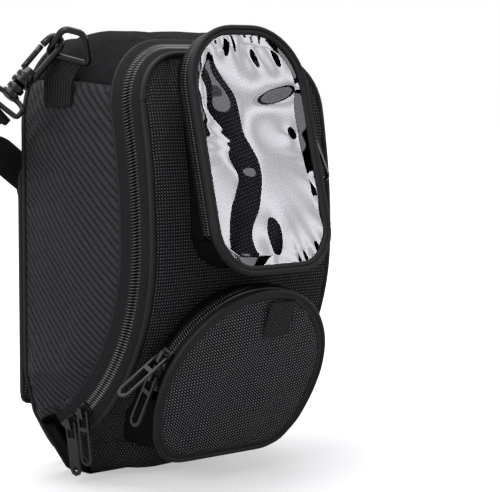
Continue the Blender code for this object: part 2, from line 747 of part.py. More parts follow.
WING_AXIS_X = BASE_HALF + 2.0
wing_line = [(0.8, 52), (28, 50), (50, 58), (60, 80), (76, 98), (96, 112), (98, 130), (92, 156), (70, 186),
             (40, 206), (20, 214), (0.8, 218)]
WING_MAGNET = (48.0, 138.0, 54.0, 60.0)
wing_piping = [(3, 209), (22, 198), (48, 180), (70, 156), (82, 130), (72, 110), (54, 92)]
for name, side in (("left_wing", -1), ("right_wing", 1)):
    flap(name, [(side * (WING_AXIS_X - u), z) for u, z in wing_line],
         Vector((side * WING_AXIS_X, FLAP_AXIS_Y, 0)),
         (side * (WING_AXIS_X - WING_MAGNET[0]),) + WING_MAGNET[1:],
         [(side * (WING_AXIS_X - u), z) for u, z in wing_piping])
front_line = [(-44, 0.8), (44, 0.8), (40, 40), (37, 70), (28, 88), (12, 96), (-12, 96), (-28, 88), (-37, 70),
              (-40, 40)]
flap("front_flap", front_line, Vector((0, FLAP_AXIS_Y, 0)), (0.0, 54.0, 50.0, 46.0))
REAR_AXIS_Z = BASE_SIDE_Z1 + BASE_CORNER_Z + 0.5
rear_line = [(-38, 0.8), (38, 0.8), (36, 40), (31, 60), (20, 72), (0, 77), (-20, 72), (-31, 60), (-36, 40)]
flap("rear_flap", [(x, REAR_AXIS_Z - z) for x, z in rear_line], Vector((0, FLAP_AXIS_Y, REAR_AXIS_Z)),
     (0.0, REAR_AXIS_Z - 40.0, 46.0, 34.0))

# Ring tabs, rings and snap hooks at the two rear corners
RING_WALL_X = (BASE_HALF + ZIP_X) / 2
RING_MID = at(-RING_WALL_X - 6.0, 51.0, 293.0)
RING_UP = Vector((-0.15, -0.5, 0.85)).normalized()
RING_ACROSS = Vector((0.6, -0.78, 0.1))
RING_ACROSS = (RING_ACROSS - RING_UP * RING_ACROSS.dot(RING_UP)).normalized()
TAB_ACROSS = Vector((0.35, -0.93, 0.08)).normalized()
tab_path = [at(-RING_WALL_X - 10.2, 46.0, 261.0), at(-RING_WALL_X - 11.2, 47.0, 270.0),
            at(-RING_WALL_X - 11.5, 49.0, 281.0)]
tab_end = tab_path[2] - RING_MID
tab_end = (tab_end - RING_ACROSS * tab_end.dot(RING_ACROSS)).normalized()
tab_path.append(RING_MID + tab_end * (RING_BAR / 2 + 0.1))
tab_frames = []
for i, p in enumerate(tab_path):
    run = (tab_path[min(3, i + 1)] - tab_path[max(0, i - 1)]).normalized()
    across = TAB_ACROSS.lerp(RING_ACROSS, i / 3)
    across = (across - run * across.dot(run)).normalized()
    tab_frames.append((p, across, across.cross(run).normalized()))
tab_frames[3] = (tab_path[3], RING_ACROSS, tab_end.cross(RING_ACROSS))
left_tab = sweep(tab_frames, [(-10.5, -1.2), (10.5, -1.2), (10.5, 1.2), (-10.5, 1.2)])
ring_path = [(-13.0, 0.0), (13.0, 0.0), (13.5, 3.0), (8.0, 19.0), (5.0, 21.5), (-5.0, 21.5), (-8.0, 19.0),
             (-13.5, 3.0)]
RING_TIP = 21.5
HOOK_LEN = 66.0
HOOK_T = 5.0
HOOK_SEAT = 9.4
GATE_U = 33.2
GATE_V = 5.6
GATE_TIP = HOOK_LEN - 14.6
top = HOOK_LEN
spine = [(21.0, -6.0), (32.0, -7.5), (top - 5.0, -7.5), (top - 1.0, -4.5), (top, 0.0), (top - 1.0, 4.5),
         (top - 5.0, 7.5), (top - 14.0, 7.5), (top - 14.0, 4.5), (top - 6.0, 3.6), (top - 4.0, 0.0),
         (top - 6.0, -3.6), (top - 10.0, -4.2), (34.0, -4.2), (32.0, -1.0), (30.0, 6.0), (21.0, 6.0)]
gate_line = [(GATE_U - 1.6, GATE_V - 1.4), (GATE_U - 1.6, GATE_V + 1.8), (GATE_TIP, GATE_V + 1.8),
             (GATE_TIP, GATE_V - 1.2)]
eye_outer = [(0, -15.0), (0, 15.0), (9.0, 15.0), (14.0, 7.0), (20.6, 4.0), (20.6, -4.0), (14.0, -7.0),
             (9.0, -15.0)]
eye_hole = [(3.0, -12.6), (3.0, 12.6), (8.2, 12.6), (9.4, 10.0), (9.4, -10.0), (8.2, -12.6)]


def across_from(axis, wanted):
    """The direction across an axis that comes nearest to a wanted one."""
    return (wanted - axis * wanted.dot(axis)).normalized()


def ring_and_hook(side, mid, across, up, clip, clip_run, hook_up, eye_run):
    """A ring and the hook clipped to it. Returns the end of the eye, the bar direction and the gate axis."""
    ring = tube([mid + across * u + up * v for u, v in ring_path], RING_BAR / 2, True)
    finish(side + "_d_ring", ring, "acetal_plastic", mid)
    through = across_from(hook_up, clip_run)
    aside = through.cross(hook_up)
    origin = clip - hook_up * (HOOK_LEN - HOOK_SEAT)
    flat = (origin, hook_up, aside)
    finish(side + "_hook_body", plate([spine], HOOK_T, flat), "acetal_plastic", mid)
    gate_axis = origin + hook_up * GATE_U + aside * GATE_V
    finish(side + "_hook_gate", plate([gate_line], HOOK_T - 1.0, flat), "acetal_plastic", gate_axis)
    eye = plate([eye_outer, eye_hole], HOOK_T, (origin, hook_up, across_from(hook_up, eye_run or aside)))
    finish(side + "_hook_swivel", eye, "acetal_plastic", origin)
    return origin, through, gate_axis


def flipped(v):
    return Vector((-v.x, v.y, v.z))


finish("right_ring_tab", mirrored(left_tab), "webbing")
finish("left_ring_tab", left_tab, "webbing")
LEFT_HOOK = Vector((0.68, -0.12, 0.72)).normalized()
LEFT_CLIP = RING_MID - RING_ACROSS * 12.0 + RING_UP * 7.0
LEFT_SPOT = ring_and_hook("left", RING_MID, RING_ACROSS, RING_UP, LEFT_CLIP, RING_ACROSS * 5.5 + RING_UP * 16.0,
                          LEFT_HOOK, None)
# The right ring hangs down beside the bag with its hook
RIGHT_HANG = math.radians(25)
RIGHT_ACROSS = flipped(RING_ACROSS)
RIGHT_UP = flipped(RING_ACROSS.cross(RING_UP) * math.cos(RIGHT_HANG) - RING_UP * math.sin(RIGHT_HANG))
RIGHT_MID = flipped(RING_MID)
RIGHT_HOOK = Vector((-0.25, -0.05, 0.97)).normalized()
RIGHT_CLIP = RIGHT_MID + RIGHT_UP * RING_TIP - RIGHT_HOOK * 2.9
RIGHT_SPOT = ring_and_hook("right", RIGHT_MID, RIGHT_ACROSS, RIGHT_UP, RIGHT_CLIP, RIGHT_ACROSS, RIGHT_HOOK,
                           X_AXIS)

# Shoulder strap from eye to eye behind the bag, with its slider
STRAP_ROUTE = [(-150.0, -17.0, 245.0), (-139.0, 5.0, 237.0), (-122.0, 24.0, 231.0), (-102.0, 35.0, 227.0),
               (-74.0, 39.0, 208.0), (-60.0, 39.0, 150.0), (-60.0, 39.0, 80.0), (-58.0, 39.0, 38.0),
               (-47.0, 39.0, 20.0), (-25.0, 39.0, 15.0), (0.0, 39.0, 15.0), (25.0, 39.0, 15.0),
               (47.0, 39.0, 20.0), (58.0, 39.0, 38.0), (60.0, 39.0, 80.0), (60.0, 39.0, 130.0),
               (72.0, 39.0, 160.0), (98.0, 36.0, 178.0), (116.0, 22.0, 187.0), (126.0, -2.0, 195.0),
               (128.0, -26.0, 202.0)]
STRAP_LEAD = 9.0
route = [LEFT_SPOT[0] - LEFT_HOOK * GAP, LEFT_SPOT[0] - LEFT_HOOK * STRAP_LEAD]
route += [Vector(p) for p in STRAP_ROUTE]
route += [RIGHT_SPOT[0] - RIGHT_HOOK * STRAP_LEAD, RIGHT_SPOT[0] - RIGHT_HOOK * GAP]
strap_frames = []
for i, p in enumerate(route):
    run = (route[min(len(route) - 1, i + 1)] - route[max(0, i - 1)]).normalized()
    face = Vector((0, 1, 0)) - run * run.y
    if face.length < 0.3:
        face = Vector((0, 0, 1)) - run * run.z
    face.normalize()
    strap_frames.append((p, run.cross(face), face))
half_w = STRAP_W / 2
half_t = STRAP_T / 2
strap_shape = [(-half_w, -half_t), (half_w, -half_t), (half_w, half_t), (-half_w, half_t)]
finish("shoulder_strap", sweep(strap_frames, strap_shape), "webbing")
glide_mid = (Vector((60.0, 39.0, 110.0)), X_AXIS, Vector((0, 1, 0)))
glide_outer = [(-half_w - 4.5, -4.0), (half_w + 4.5, -4.0), (half_w + 4.5, 4.0), (-half_w - 4.5, 4.0)]
slot = half_t + GAP
glide_hole = [(-half_w - 1.8, -slot), (half_w + 1.8, -slot), (half_w + 1.8, slot), (-half_w - 1.8, slot)]
finish("strap_slider", plate([glide_outer, glide_hole], 14.0, glide_mid), "acetal_plastic")

for leftover in list(cutters.objects):
    bpy.data.objects.remove(leftover, do_unlink=True)
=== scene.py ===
"""Looks of the motorcycle tank bag: camera, soft panels, zips, window film, hardware and light."""

import math

import bpy
import numpy as np
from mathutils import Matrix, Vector, noise
from mathutils.bvhtree import BVHTree


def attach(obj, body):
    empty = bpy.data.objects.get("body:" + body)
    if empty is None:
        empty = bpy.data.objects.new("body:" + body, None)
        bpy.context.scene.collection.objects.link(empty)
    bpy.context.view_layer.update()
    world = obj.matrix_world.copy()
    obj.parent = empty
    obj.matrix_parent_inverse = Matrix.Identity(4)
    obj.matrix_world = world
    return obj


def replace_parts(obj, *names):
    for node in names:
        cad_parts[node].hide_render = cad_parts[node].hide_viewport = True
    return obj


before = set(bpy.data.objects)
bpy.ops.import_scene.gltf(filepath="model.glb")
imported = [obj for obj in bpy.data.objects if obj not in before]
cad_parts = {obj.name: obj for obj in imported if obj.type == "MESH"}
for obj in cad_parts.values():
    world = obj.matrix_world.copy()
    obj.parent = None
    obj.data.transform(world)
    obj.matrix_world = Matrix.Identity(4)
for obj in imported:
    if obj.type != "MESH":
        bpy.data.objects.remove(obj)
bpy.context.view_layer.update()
scene = bpy.context.scene
MM = 0.001

# Camera: the photograph's view from the bag's front left, a little above the floor
CAM_AZIMUTH = math.radians(-40.0)
CAM_ELEVATION = math.radians(6.0)
CAM_DISTANCE = 1.3
CAM_TARGET = Vector((0.0, -0.045, 0.150))
CAM_SENSOR = 36.0
CAM_LENS = 131.8
CAM_SHIFT = (0.132, 0.032)
CAM_FAR = 50.0
back = Vector((math.sin(CAM_AZIMUTH) * math.cos(CAM_ELEVATION),
               -math.cos(CAM_AZIMUTH) * math.cos(CAM_ELEVATION), math.sin(CAM_ELEVATION)))
camera_data = bpy.data.cameras.new("camera")
camera_data.sensor_width = CAM_SENSOR
camera_data.lens = CAM_LENS
camera_data.shift_x, camera_data.shift_y = CAM_SHIFT
camera_data.clip_end = CAM_FAR
camera = bpy.data.objects.new("camera", camera_data)
camera.location = CAM_TARGET + back * CAM_DISTANCE
camera.rotation_euler = back.to_track_quat("Z", "Y").to_euler()
scene.collection.objects.link(camera)
scene.camera = camera

# Sizes shared with the part's source, in millimetres
GAP = 0.35
BASE_Y = 10.0
BASE_HALF = 100.0
BASE_T = 3.0
BASE_SIDE_Z0 = 75.0
BASE_SIDE_Z1 = 248.0
BASE_CORNER_X = 45.0
BASE_CORNER_Z = 58.0
BASE_KNEE_X = 92
BASE_KNEE_Z = 45
NOSE_HALF = 62.0
NOSE_TOP_H = 23.0
WALL_BULGE = 7.0
ZIP_X = 84.0
ZIP_END_Z = 38.0
ZIP_END_H = 26.0
ZIP_PEAK_Z = 168.0
ZIP_PEAK_H = 107.0
ZIP_REAR_R = 450.0
ZIP_CORNER_R = 42.0
ZIP_REAR_Z = 300.0
ZIP_LEAN = math.radians(22)
TAPE_W = 11.0
LID_EDGE_GAP = 1.8
PHONE_HALF = 53.0
PHONE_LEN = 170.0
PHONE_Z0 = 151.0
PHONE_H0 = 156.5
PHONE_SLOPE = math.radians(14)
PHONE_R_LOW = 32.0
PHONE_R_TOP = 44.0
PHONE_FRAME_T = 5.0
ROUND_R = 73.0
ROUND_CENTRE = 57.0
ROUND_FLAT_HALF = 40.0
ROUND_Z0 = 18.0
ROUND_H0 = 95.0
ROUND_SLOPE = math.radians(-23)
ROUND_LID_T = 4.0
POCKET_TAPE = 5.2
POCKET_INSET = 2.5
STRAP_W = 24.0
STRAP_T = 2.0

# Axes, mirror and a square's corners
X = np.array((1.0, 0, 0))
Y = np.array((0, 1.0, 0))
Z = np.array((0, 0, 1.0))
FLIP = np.array((-1.0, 1, 1))
SQUARE = ((-1, -1), (1, -1), (1, 1), (-1, 1))


# Vectors and paths
def at(x, h, z):
    """A place at a height above the base."""
    return np.array((x, BASE_Y - h, z), float)


def unit(v):
    v = np.asarray(v, float)
    return v / np.linalg.norm(v)


def units(rows):
    return rows / np.linalg.norm(rows, axis=-1, keepdims=True)


def lengths(p):
    """Distance along a path at each of its points."""
    return np.concatenate([[0], np.cumsum(np.linalg.norm(np.diff(p, axis=0), axis=1))])


def directions(p, closed=False):
    """The way a path runs at each of its points."""
    return units(np.roll(p, -1, 0) - np.roll(p, 1, 0) if closed else np.gradient(p, axis=0))


def paired(across, along):
    return np.stack(np.broadcast_arrays(across, along), -1)


# Materials
def add_node(tree, kind, **values):
    node = tree.nodes.new("ShaderNode" + kind)
    for name, value in values.items():
        node.inputs[name].default_value = value
    return node


def link_all(tree, node, *sources):
    for socket, source in zip(node.inputs, sources):
        tree.links.new(source, socket)


def maths(tree, operation, *values):
    node = add_node(tree, "Math")
    node.operation = operation
    for socket, value in zip(node.inputs, values):
        if isinstance(value, (int, float)):
            socket.default_value = value
        else:
            tree.links.new(value, socket)
    return node.outputs[0]


def sine(tree, value, factor):
    return maths(tree, "SINE", maths(tree, "MULTIPLY", value, factor))


def plain(name, colour, rough, metal=0.0, specular=0.5):
    """A material with its constants on the shader's own sockets."""
    m = bpy.data.materials.new(name)
    m.use_nodes = True
    sockets = m.node_tree.nodes["Principled BSDF"].inputs
    sockets["Base Color"].default_value = (*colour, 1)
    sockets["Roughness"].default_value = rough
    sockets["Metallic"].default_value = metal
    sockets["Specular IOR Level"].default_value = specular
    return m


def uv_axes(tree, pitch, angle=0.0, pitch_v=None):
    """The fabric's own coordinates counted in threads."""
    uv = add_node(tree, "UVMap")
    mapping = add_node(tree, "Mapping", Rotation=(0, 0, angle))
    turned = add_node(tree, "SeparateXYZ")
    tree.links.new(uv.outputs[0], mapping.inputs[0])
    tree.links.new(mapping.outputs[0], turned.inputs[0])
    x = maths(tree, "MULTIPLY", turned.outputs[0], 1 / MM / pitch)
    y = maths(tree, "MULTIPLY", turned.outputs[1], 1 / MM / (pitch_v or pitch))
    return x, y


def bumped(m, height, distance):
    tree = m.node_tree
    bump = add_node(tree, "Bump", Strength=1.0, Distance=distance)
    tree.links.new(height, bump.inputs["Height"])
    tree.links.new(bump.outputs[0], tree.nodes["Principled BSDF"].inputs["Normal"])


def painted_crown_light(m, factor, dark, light, low, high):
    """Thread-scale colour between a dark and a light tone: painted highlights on the raised threads and
    painted shade in the hollows between them.
    """
    tree = m.node_tree
    ramp = add_node(tree, "ValToRGB")
    for stop, colour, position in zip(ramp.color_ramp.elements, (dark, light), (low, high)):
        stop.position = position
        stop.color = (*colour, 1)
    tree.links.new(factor, ramp.inputs[0])
    tree.links.new(ramp.outputs[0], tree.nodes["Principled BSDF"].inputs["Base Color"])


WEFT_HEIGHT = 0.55
# Ramp stops of the weave's painted shade and painted highlights
WEAVE_SHADE_TO_HIGHLIGHT = (0.45, 0.95)


def weave(name, dark, light, rough, pitch, angle, depth, specular):
    """Plain weave of round threads that pass over and under each other."""
    m = plain(name, light, rough, 0.0, specular)
    tree = m.node_tree
    x, y = uv_axes(tree, pitch, math.radians(angle))
    sx = sine(tree, maths(tree, "FRACT", x), math.pi)
    sy = sine(tree, maths(tree, "FRACT", y), math.pi)
    cells = maths(tree, "ADD", maths(tree, "FLOOR", x), maths(tree, "FLOOR", y))
    over = maths(tree, "ABSOLUTE", maths(tree, "MODULO", cells, 2.0))
    under = maths(tree, "SUBTRACT", 1.0, over)
    warp = maths(tree, "MULTIPLY", maths(tree, "MULTIPLY", sx, over), sy)
    weft = maths(tree, "MULTIPLY", maths(tree, "MULTIPLY", sy, under), WEFT_HEIGHT)
    height = maths(tree, "ADD", warp, weft)
    # Painted highlights on the thread crowns and painted shade between the threads
    painted_crown_light(m, height, dark, light, *WEAVE_SHADE_TO_HIGHLIGHT)
    bumped(m, height, depth)
    return m


RIB_PITCH = 4.3
RIB_TURN = math.radians(-42)
RIB_ROUND = 0.9
# Ramp stops of the ribs' painted shade and painted highlights
RIB_SHADE_TO_HIGHLIGHT = (0.25, 1.15)
TWILL_PITCH = 1.5
TWILL_HEIGHT = 0.4


def ribbed(name, dark, light, rough, depth, specular):
    """Raised diagonal ribs crossed by a fine twill."""
    m = plain(name, light, rough, 0.0, specular)
    tree = m.node_tree
    x, y = uv_axes(tree, RIB_PITCH, RIB_TURN, TWILL_PITCH)
    rib = maths(tree, "POWER", maths(tree, "ABSOLUTE", sine(tree, x, math.pi)), RIB_ROUND)
    crossing = maths(tree, "MULTIPLY", sine(tree, y, 2 * math.pi), sine(tree, x, 4 * math.pi))
    twill = maths(tree, "MULTIPLY", crossing, TWILL_HEIGHT)
    # Painted highlights on the rib crowns and painted shade in the grooves
    painted_crown_light(m, maths(tree, "ADD", rib, twill), dark, light, *RIB_SHADE_TO_HIGHLIGHT)
    bumped(m, twill, depth)
    return m


def grain(name, colour, rough, scale, depth, specular=0.4):
    """Close matt cloth or moulded surface with a fine grain."""
    m = plain(name, colour, rough, 0.0, specular)
    tree = m.node_tree
    place = add_node(tree, "TexCoord")
    speckle = add_node(tree, "TexNoise", Scale=scale, Detail=3.0)
    tree.links.new(place.outputs["Object"], speckle.inputs["Vector"])
    bumped(m, speckle.outputs[0], depth)
    return m


YARN_SLANT = 1.2
# Ramp stops of the webbing's painted shade and painted highlights
WEBBING_SHADE_TO_HIGHLIGHT = (0.4, 0.95)


def webbing_cloth(name, pitch, fine, light, rib_part):
    """Ribbed webbing with slanted yarns."""
    m = plain(name, (0.02, 0.02, 0.022), 0.8, 0.0, 0.1)
    tree = m.node_tree
    x, y = uv_axes(tree, pitch)
    zig = maths(tree, "PINGPONG", x, 1.0)
    slant = maths(tree, "MULTIPLY", maths(tree, "MULTIPLY_ADD", zig, YARN_SLANT, y), fine)
    yarn = maths(tree, "ABSOLUTE", sine(tree, slant, math.pi))
    rib = maths(tree, "ABSOLUTE", sine(tree, x, math.pi))
    height = maths(tree, "MULTIPLY_ADD", yarn, 1.0 - rib_part, maths(tree, "MULTIPLY", rib, rib_part))
    # Painted highlights on the raised yarns and painted shade between them
    painted_crown_light(m, height, (0.0005, 0.0005, 0.0006), (light, light, light * 1.08), *WEBBING_SHADE_TO_HIGHLIGHT)
    bumped(m, height, 0.0007)
    return m


# The woven, ribbed and webbing cloths carry painted highlights on raised threads and painted shade between
# them
BALLISTIC = weave("ballistic_weave", (0.0008, 0.0008, 0.001), (0.2, 0.196, 0.216), 0.8, 1.55, 45, 0.0004,
                  0.08)
COARSE = weave("coarse_weave", (0.001, 0.001, 0.0012), (0.310, 0.304, 0.330), 0.75, 1.6, 38, 0.0005, 0.1)
CARBON = ribbed("carbon_rib", (0.002, 0.002, 0.0024), (0.032, 0.031, 0.0358), 0.62, 0.0004, 0.16)
TAPE = weave("zip_tape_cloth", (0.010, 0.010, 0.0115), (0.046, 0.045, 0.051), 0.85, 0.8, 0, 0.0003, 0.08)
# Much lighter than the bag's black cloth: painted light for the inside of the phone pocket, standing in for
# light through the film
POCKET_FLOOR_PAINTED_LIGHT = weave("pocket_floor_painted_light_weave", (0.07, 0.07, 0.075), (0.56, 0.55, 0.58), 0.8, 1.9, 30, 0.0005, 0.05)
BINDING = grain("binding_tape", (0.0065, 0.0064, 0.0074), 0.6, 1500.0, 0.0002, 0.22)
REAR = weave("rear_cloth_weave", (0.003, 0.003, 0.0035), (0.048, 0.047, 0.053), 0.85, 0.9, 0, 0.0003, 0.08)
# Far darker than the lid's cloth: painted shade for the nose under the lid and the pockets' sides
GUSSET_PAINTED_SHADE = weave("gusset_painted_shade_cloth", (0.001, 0.001, 0.0012), (0.016, 0.0156, 0.018), 0.9, 0.9, 0, 0.0003, 0.06)
COIL = plain("coil_nylon", (0.0035, 0.0035, 0.004), 0.3, 0.0, 0.55)
THREAD = plain("stitch_thread", (0.030, 0.030, 0.033), 0.7)
PLASTIC = grain("moulded_plastic", (0.0035, 0.0035, 0.004), 0.24, 700.0, 0.0001, 0.32)
METAL = plain("lacquered_metal", (0.055, 0.055, 0.058), 0.3, 0.85)
PULL = plain("black_lacquer", (0.006, 0.006, 0.0066), 0.26, 0.2, 0.6)
REFLECT = grain("reflective_cloth", (0.42, 0.42, 0.44), 0.45, 1200.0, 0.0001)
BOARD = plain("board", (0.03, 0.03, 0.03), 0.6)
NICKEL = plain("nickel", (0.5, 0.5, 0.5), 0.3, 1.0)
WEBBING = webbing_cloth("webbing_cloth", 2.0, 1.0, 0.032, 0.5)
HERRINGBONE = webbing_cloth("herringbone_cloth", 5.0, 1.9, 0.045, 0.12)

# Clear film: mirror-like where light falls on it, see-through elsewhere
FILM_GLOSS = 1.4
FILM_GLOSS_LEAST = 0.13
FILM = bpy.data.materials.new("clear_film")
FILM.use_nodes = True
film_tree = FILM.node_tree
film_tree.nodes.remove(film_tree.nodes["Principled BSDF"])
film_mix = add_node(film_tree, "MixShader")
film_clear = add_node(film_tree, "BsdfTransparent", Color=(0.94, 0.945, 0.96, 1))
film_gloss = add_node(film_tree, "BsdfGlossy", Color=(0.76, 0.765, 0.81, 1), Roughness=0.03)
film_weight = add_node(film_tree, "Fresnel", IOR=1.5)
film_boost = maths(film_tree, "MULTIPLY_ADD", film_weight.outputs[0], FILM_GLOSS, FILM_GLOSS_LEAST)
link_all(film_tree, film_mix, film_boost, film_clear.outputs[0], film_gloss.outputs[0])
film_tree.links.new(film_mix.outputs[0], film_tree.nodes["Material Output"].inputs["Surface"])


# Meshes
def put(name, verts, faces, body, material, replaces=(), uv=None):
    """A mesh piece in millimetres that rides on a body."""
    mesh = bpy.data.meshes.new(name)
    places = [tuple(float(t) * MM for t in v) for v in verts]
    mesh.from_pydata(places, [], [tuple(int(i) for i in f) for f in faces])
    if uv is not None:
        layer = mesh.uv_layers.new(name="UVMap")
        loops = np.empty(len(mesh.loops), dtype=np.int32)
        mesh.loops.foreach_get("vertex_index", loops)
        layer.data.foreach_set("uv", (np.asarray(uv, float).reshape(-1, 2)[loops] * MM).ravel())
    mesh.polygons.foreach_set("use_smooth", [True] * len(mesh.polygons))
    mesh.materials.append(material)
    mesh.update()
    thing = bpy.data.objects.new(name, mesh)
    scene.collection.objects.link(thing)
    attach(thing, body)
    if replaces:
        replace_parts(thing, *replaces)
    return thing


def thicken(thing, thickness, offset=-1.0):
    change = thing.modifiers.new("thickness", "SOLIDIFY")
    change.thickness = thickness * MM
    change.offset = offset
    return thing


def grid_faces(rows, cols, closed=False, flip=False):
    i, j = np.meshgrid(np.arange(rows - 1), np.arange(cols if closed else cols - 1), indexing="ij")
    k = (j + 1) % cols
    faces = np.stack([i * cols + j, i * cols + k, (i + 1) * cols + k, (i + 1) * cols + j], -1).reshape(-1, 4)
    return faces[:, ::-1] if flip else faces


def tube_faces(rows, sides, closed):
    """Faces round a swept section, whose ends meet or are capped."""
    faces = grid_faces(rows, sides, True).tolist()
    last = (rows - 1) * sides
    if closed:
        faces += [(last + j, last + (j + 1) % sides, (j + 1) % sides, j) for j in range(sides)]
    else:
        faces.append(tuple(range(sides))[::-1])
        faces.append(tuple(range(last, last + sides)))
    return faces


def spline(points, count):
    """Smooth samples through points along the first axis."""
    p = np.asarray(points, float)
    ends = np.concatenate([[2 * p[0] - p[1]], p, [2 * p[-1] - p[-2]]])
    s = np.linspace(0, len(p) - 1, count)
    i = np.minimum(s.astype(int), len(p) - 2)
    t = (s - i).reshape((-1,) + (1,) * (p.ndim - 1))
    a, b, c, d = (ends[i + k] for k in range(4))
    bend = (2 * a - 5 * b + 4 * c - d) * t ** 2
    return 0.5 * (2 * b + (c - a) * t + bend + (3 * b - a - 3 * c + d) * t ** 3)


def refine(rows, count_r, count_c):
    p = spline(np.asarray(rows, float), count_r)
    return np.swapaxes(spline(np.swapaxes(p, 0, 1), count_c), 0, 1)


def grid_normals(p):
    n = np.cross(np.gradient(p, axis=0), np.gradient(p, axis=1))
    return n / np.maximum(np.linalg.norm(n, axis=-1, keepdims=True), 1e-9)


def cloud(points, scale, seed):
    """Smooth noise at each point, about -1 to 1."""
    flat = points.reshape(-1, 3) * scale
    values = [noise.noise(Vector((x + seed, y - seed, z + 2 * seed))) for x, y, z in flat]
    return np.array(values).reshape(points.shape[:-1])


def arc_length(p, axis):
    step = np.linalg.norm(np.diff(p, axis=axis), axis=-1)
    before = [(0, 0), (0, 0)]
    before[axis] = (1, 0)
    return np.pad(np.cumsum(step, axis=axis), before)


def strip(name, p, body, material, replaces, flip=False, uv=None):
    """A cloth surface through a grid of points."""
    rows, cols = p.shape[:2]
    if uv is None:
        uv = paired(arc_length(p, 1), arc_length(p, 0).mean(axis=1, keepdims=True))
    faces = grid_faces(rows, cols, False, flip)
    return put(name, p.reshape(-1, 3), faces, body, material, replaces, uv)


CORD_SIDES = 10
CORD_TWIST = np.array((0.13, 0.21, 0.97))


def tube(name, path, radius, body, material=BINDING, closed=False):
    """A round cord sewn along a seam."""
    p = np.asarray(path, float)
    run = directions(p, closed)
    side = units(np.cross(run, CORD_TWIST))
    up = np.cross(side, run)
    angles = np.linspace(0, 2 * np.pi, CORD_SIDES, endpoint=False)
    ring = side[:, None] * np.cos(angles)[None, :, None] + up[:, None] * np.sin(angles)[None, :, None]
    verts = (p[:, None] + ring * radius).reshape(-1, 3)
    faces = [tuple(reversed(f)) for f in tube_faces(len(p), CORD_SIDES, closed)]
    return put(name, verts, faces, body, material, (), paired(angles * radius, lengths(p)[:, None]))


def spaced(path, pitch, start, values):
    """Places at even spacing along a path, with the values carried on it."""
    p = np.asarray(path, float)
    s = lengths(p)
    wanted = np.arange(start, s[-1], pitch)
    return [np.stack([np.interp(wanted, s, v[:, k]) for k in range(3)], -1) for v in (p, *values)]


BAR_RINGS = ((1, 1, -0.6), (0.72, 0.82, 0.55), (0.35, 0.5, 1.0))
BAR_SHAPE = np.array([(x * a, y * b, h) for a, b, h in BAR_RINGS for x, y in SQUARE])
BAR_FACES = np.array(tube_faces(len(BAR_RINGS), len(SQUARE), False))


def bars(name, centres, axes, sizes, body, material):
    """Many small rounded bars in one mesh: stitches or zip teeth. sizes are half lengths."""
    verts = centres[:, None]
    for k, axis in enumerate(axes):
        verts = verts + axis[:, None] * (BAR_SHAPE[:, k] * sizes[k])[None, :, None]
    faces = np.arange(len(centres))[:, None, None] * len(BAR_SHAPE) + BAR_FACES[None]
    return put(name, verts.reshape(-1, 3), faces.reshape(-1, 4), body, material)


STITCH_PITCH = 3.1
STITCH_HALF = (1.05, 0.38, 0.28)


def stitches(name, path, normals, body):
    """A line of lockstitch along a path on a cloth surface."""
    p, n = spaced(path, STITCH_PITCH, 1.0, [normals])
    run = directions(p)
    n = units(n - run * (n * run).sum(1, keepdims=True))
    return bars(name, p, (run, np.cross(n, run), n), STITCH_HALF, body, THREAD)


# Main zip track, as in the part's source
SIDE_R = ((ZIP_PEAK_Z - ZIP_END_Z) ** 2 + (ZIP_PEAK_H - ZIP_END_H) ** 2) / (2 * (ZIP_PEAK_H - ZIP_END_H))
CORNER_Z = ZIP_REAR_Z - ZIP_CORNER_R
CORNER_X = ZIP_X - ZIP_CORNER_R
BASE_TURN = math.asin((CORNER_Z - BASE_SIDE_Z1) / BASE_CORNER_Z)


def zip_radius(z):
    return SIDE_R if z < ZIP_PEAK_Z else ZIP_REAR_R


def zip_height(z):
    r = zip_radius(z)
    return ZIP_PEAK_H - r + math.sqrt(r * r - (z - ZIP_PEAK_Z) ** 2)


def base_corner(turn):
    """A point on the base's rounded rear left corner, as x and z."""
    return (-(BASE_HALF - BASE_CORNER_X) - BASE_CORNER_X * math.cos(turn),
            BASE_SIDE_Z1 + BASE_CORNER_Z * math.sin(turn))


def base_edge(z):
    """Half the base's width at a height."""
    if z < BASE_KNEE_Z:
        return NOSE_HALF + (BASE_KNEE_X - NOSE_HALF) * z / BASE_KNEE_Z
    if z < BASE_SIDE_Z0:
        return BASE_KNEE_X + (BASE_HALF - BASE_KNEE_X) * (z - BASE_KNEE_Z) / (BASE_SIDE_Z0 - BASE_KNEE_Z)
    if z <= BASE_SIDE_Z1:
        return BASE_HALF
    t = min(1, (z - BASE_SIDE_Z1) / BASE_CORNER_Z)
    return BASE_HALF - BASE_CORNER_X + BASE_CORNER_X * math.sqrt(max(0, 1 - t * t))


def track(kind, value):
    """Place, way up the tape, outward way, plan normal and base point on the left half of the zip."""
    if kind == "side":
        x, z = -ZIP_X, value
        normal = np.array((-1.0, 0, 0))
        base = at(-base_edge(z), 0, z)
    elif kind == "corner":
        x = -CORNER_X - ZIP_CORNER_R * math.cos(value)
        z = CORNER_Z + ZIP_CORNER_R * math.sin(value)
        normal = np.array((-math.cos(value), 0, math.sin(value)))
        base_x, base_z = base_corner(BASE_TURN + value * (1 - 2 * BASE_TURN / math.pi))
        base = at(base_x, 0, base_z)
    else:
        x, z = value, ZIP_REAR_Z
        normal = np.array((0, 0, 1.0))
        base = at(value * (BASE_HALF - BASE_CORNER_X) / CORNER_X, 0, BASE_SIDE_Z1 + BASE_CORNER_Z)
    slope = (z - ZIP_PEAK_Z) / zip_radius(z)
    rise = np.array((0, -math.sqrt(1 - slope * slope), slope))
    if kind != "side":
        mix = math.sin(value) if kind == "corner" else 1.0
        rise = unit(rise * (1 - mix) + np.array((0, -1.0, 0)) * mix)
    along = rise * math.cos(ZIP_LEAN) - normal * math.sin(ZIP_LEAN)
    out = normal * math.cos(ZIP_LEAN) + rise * math.sin(ZIP_LEAN)
    return at(x, zip_height(z), z), along, out, normal, base


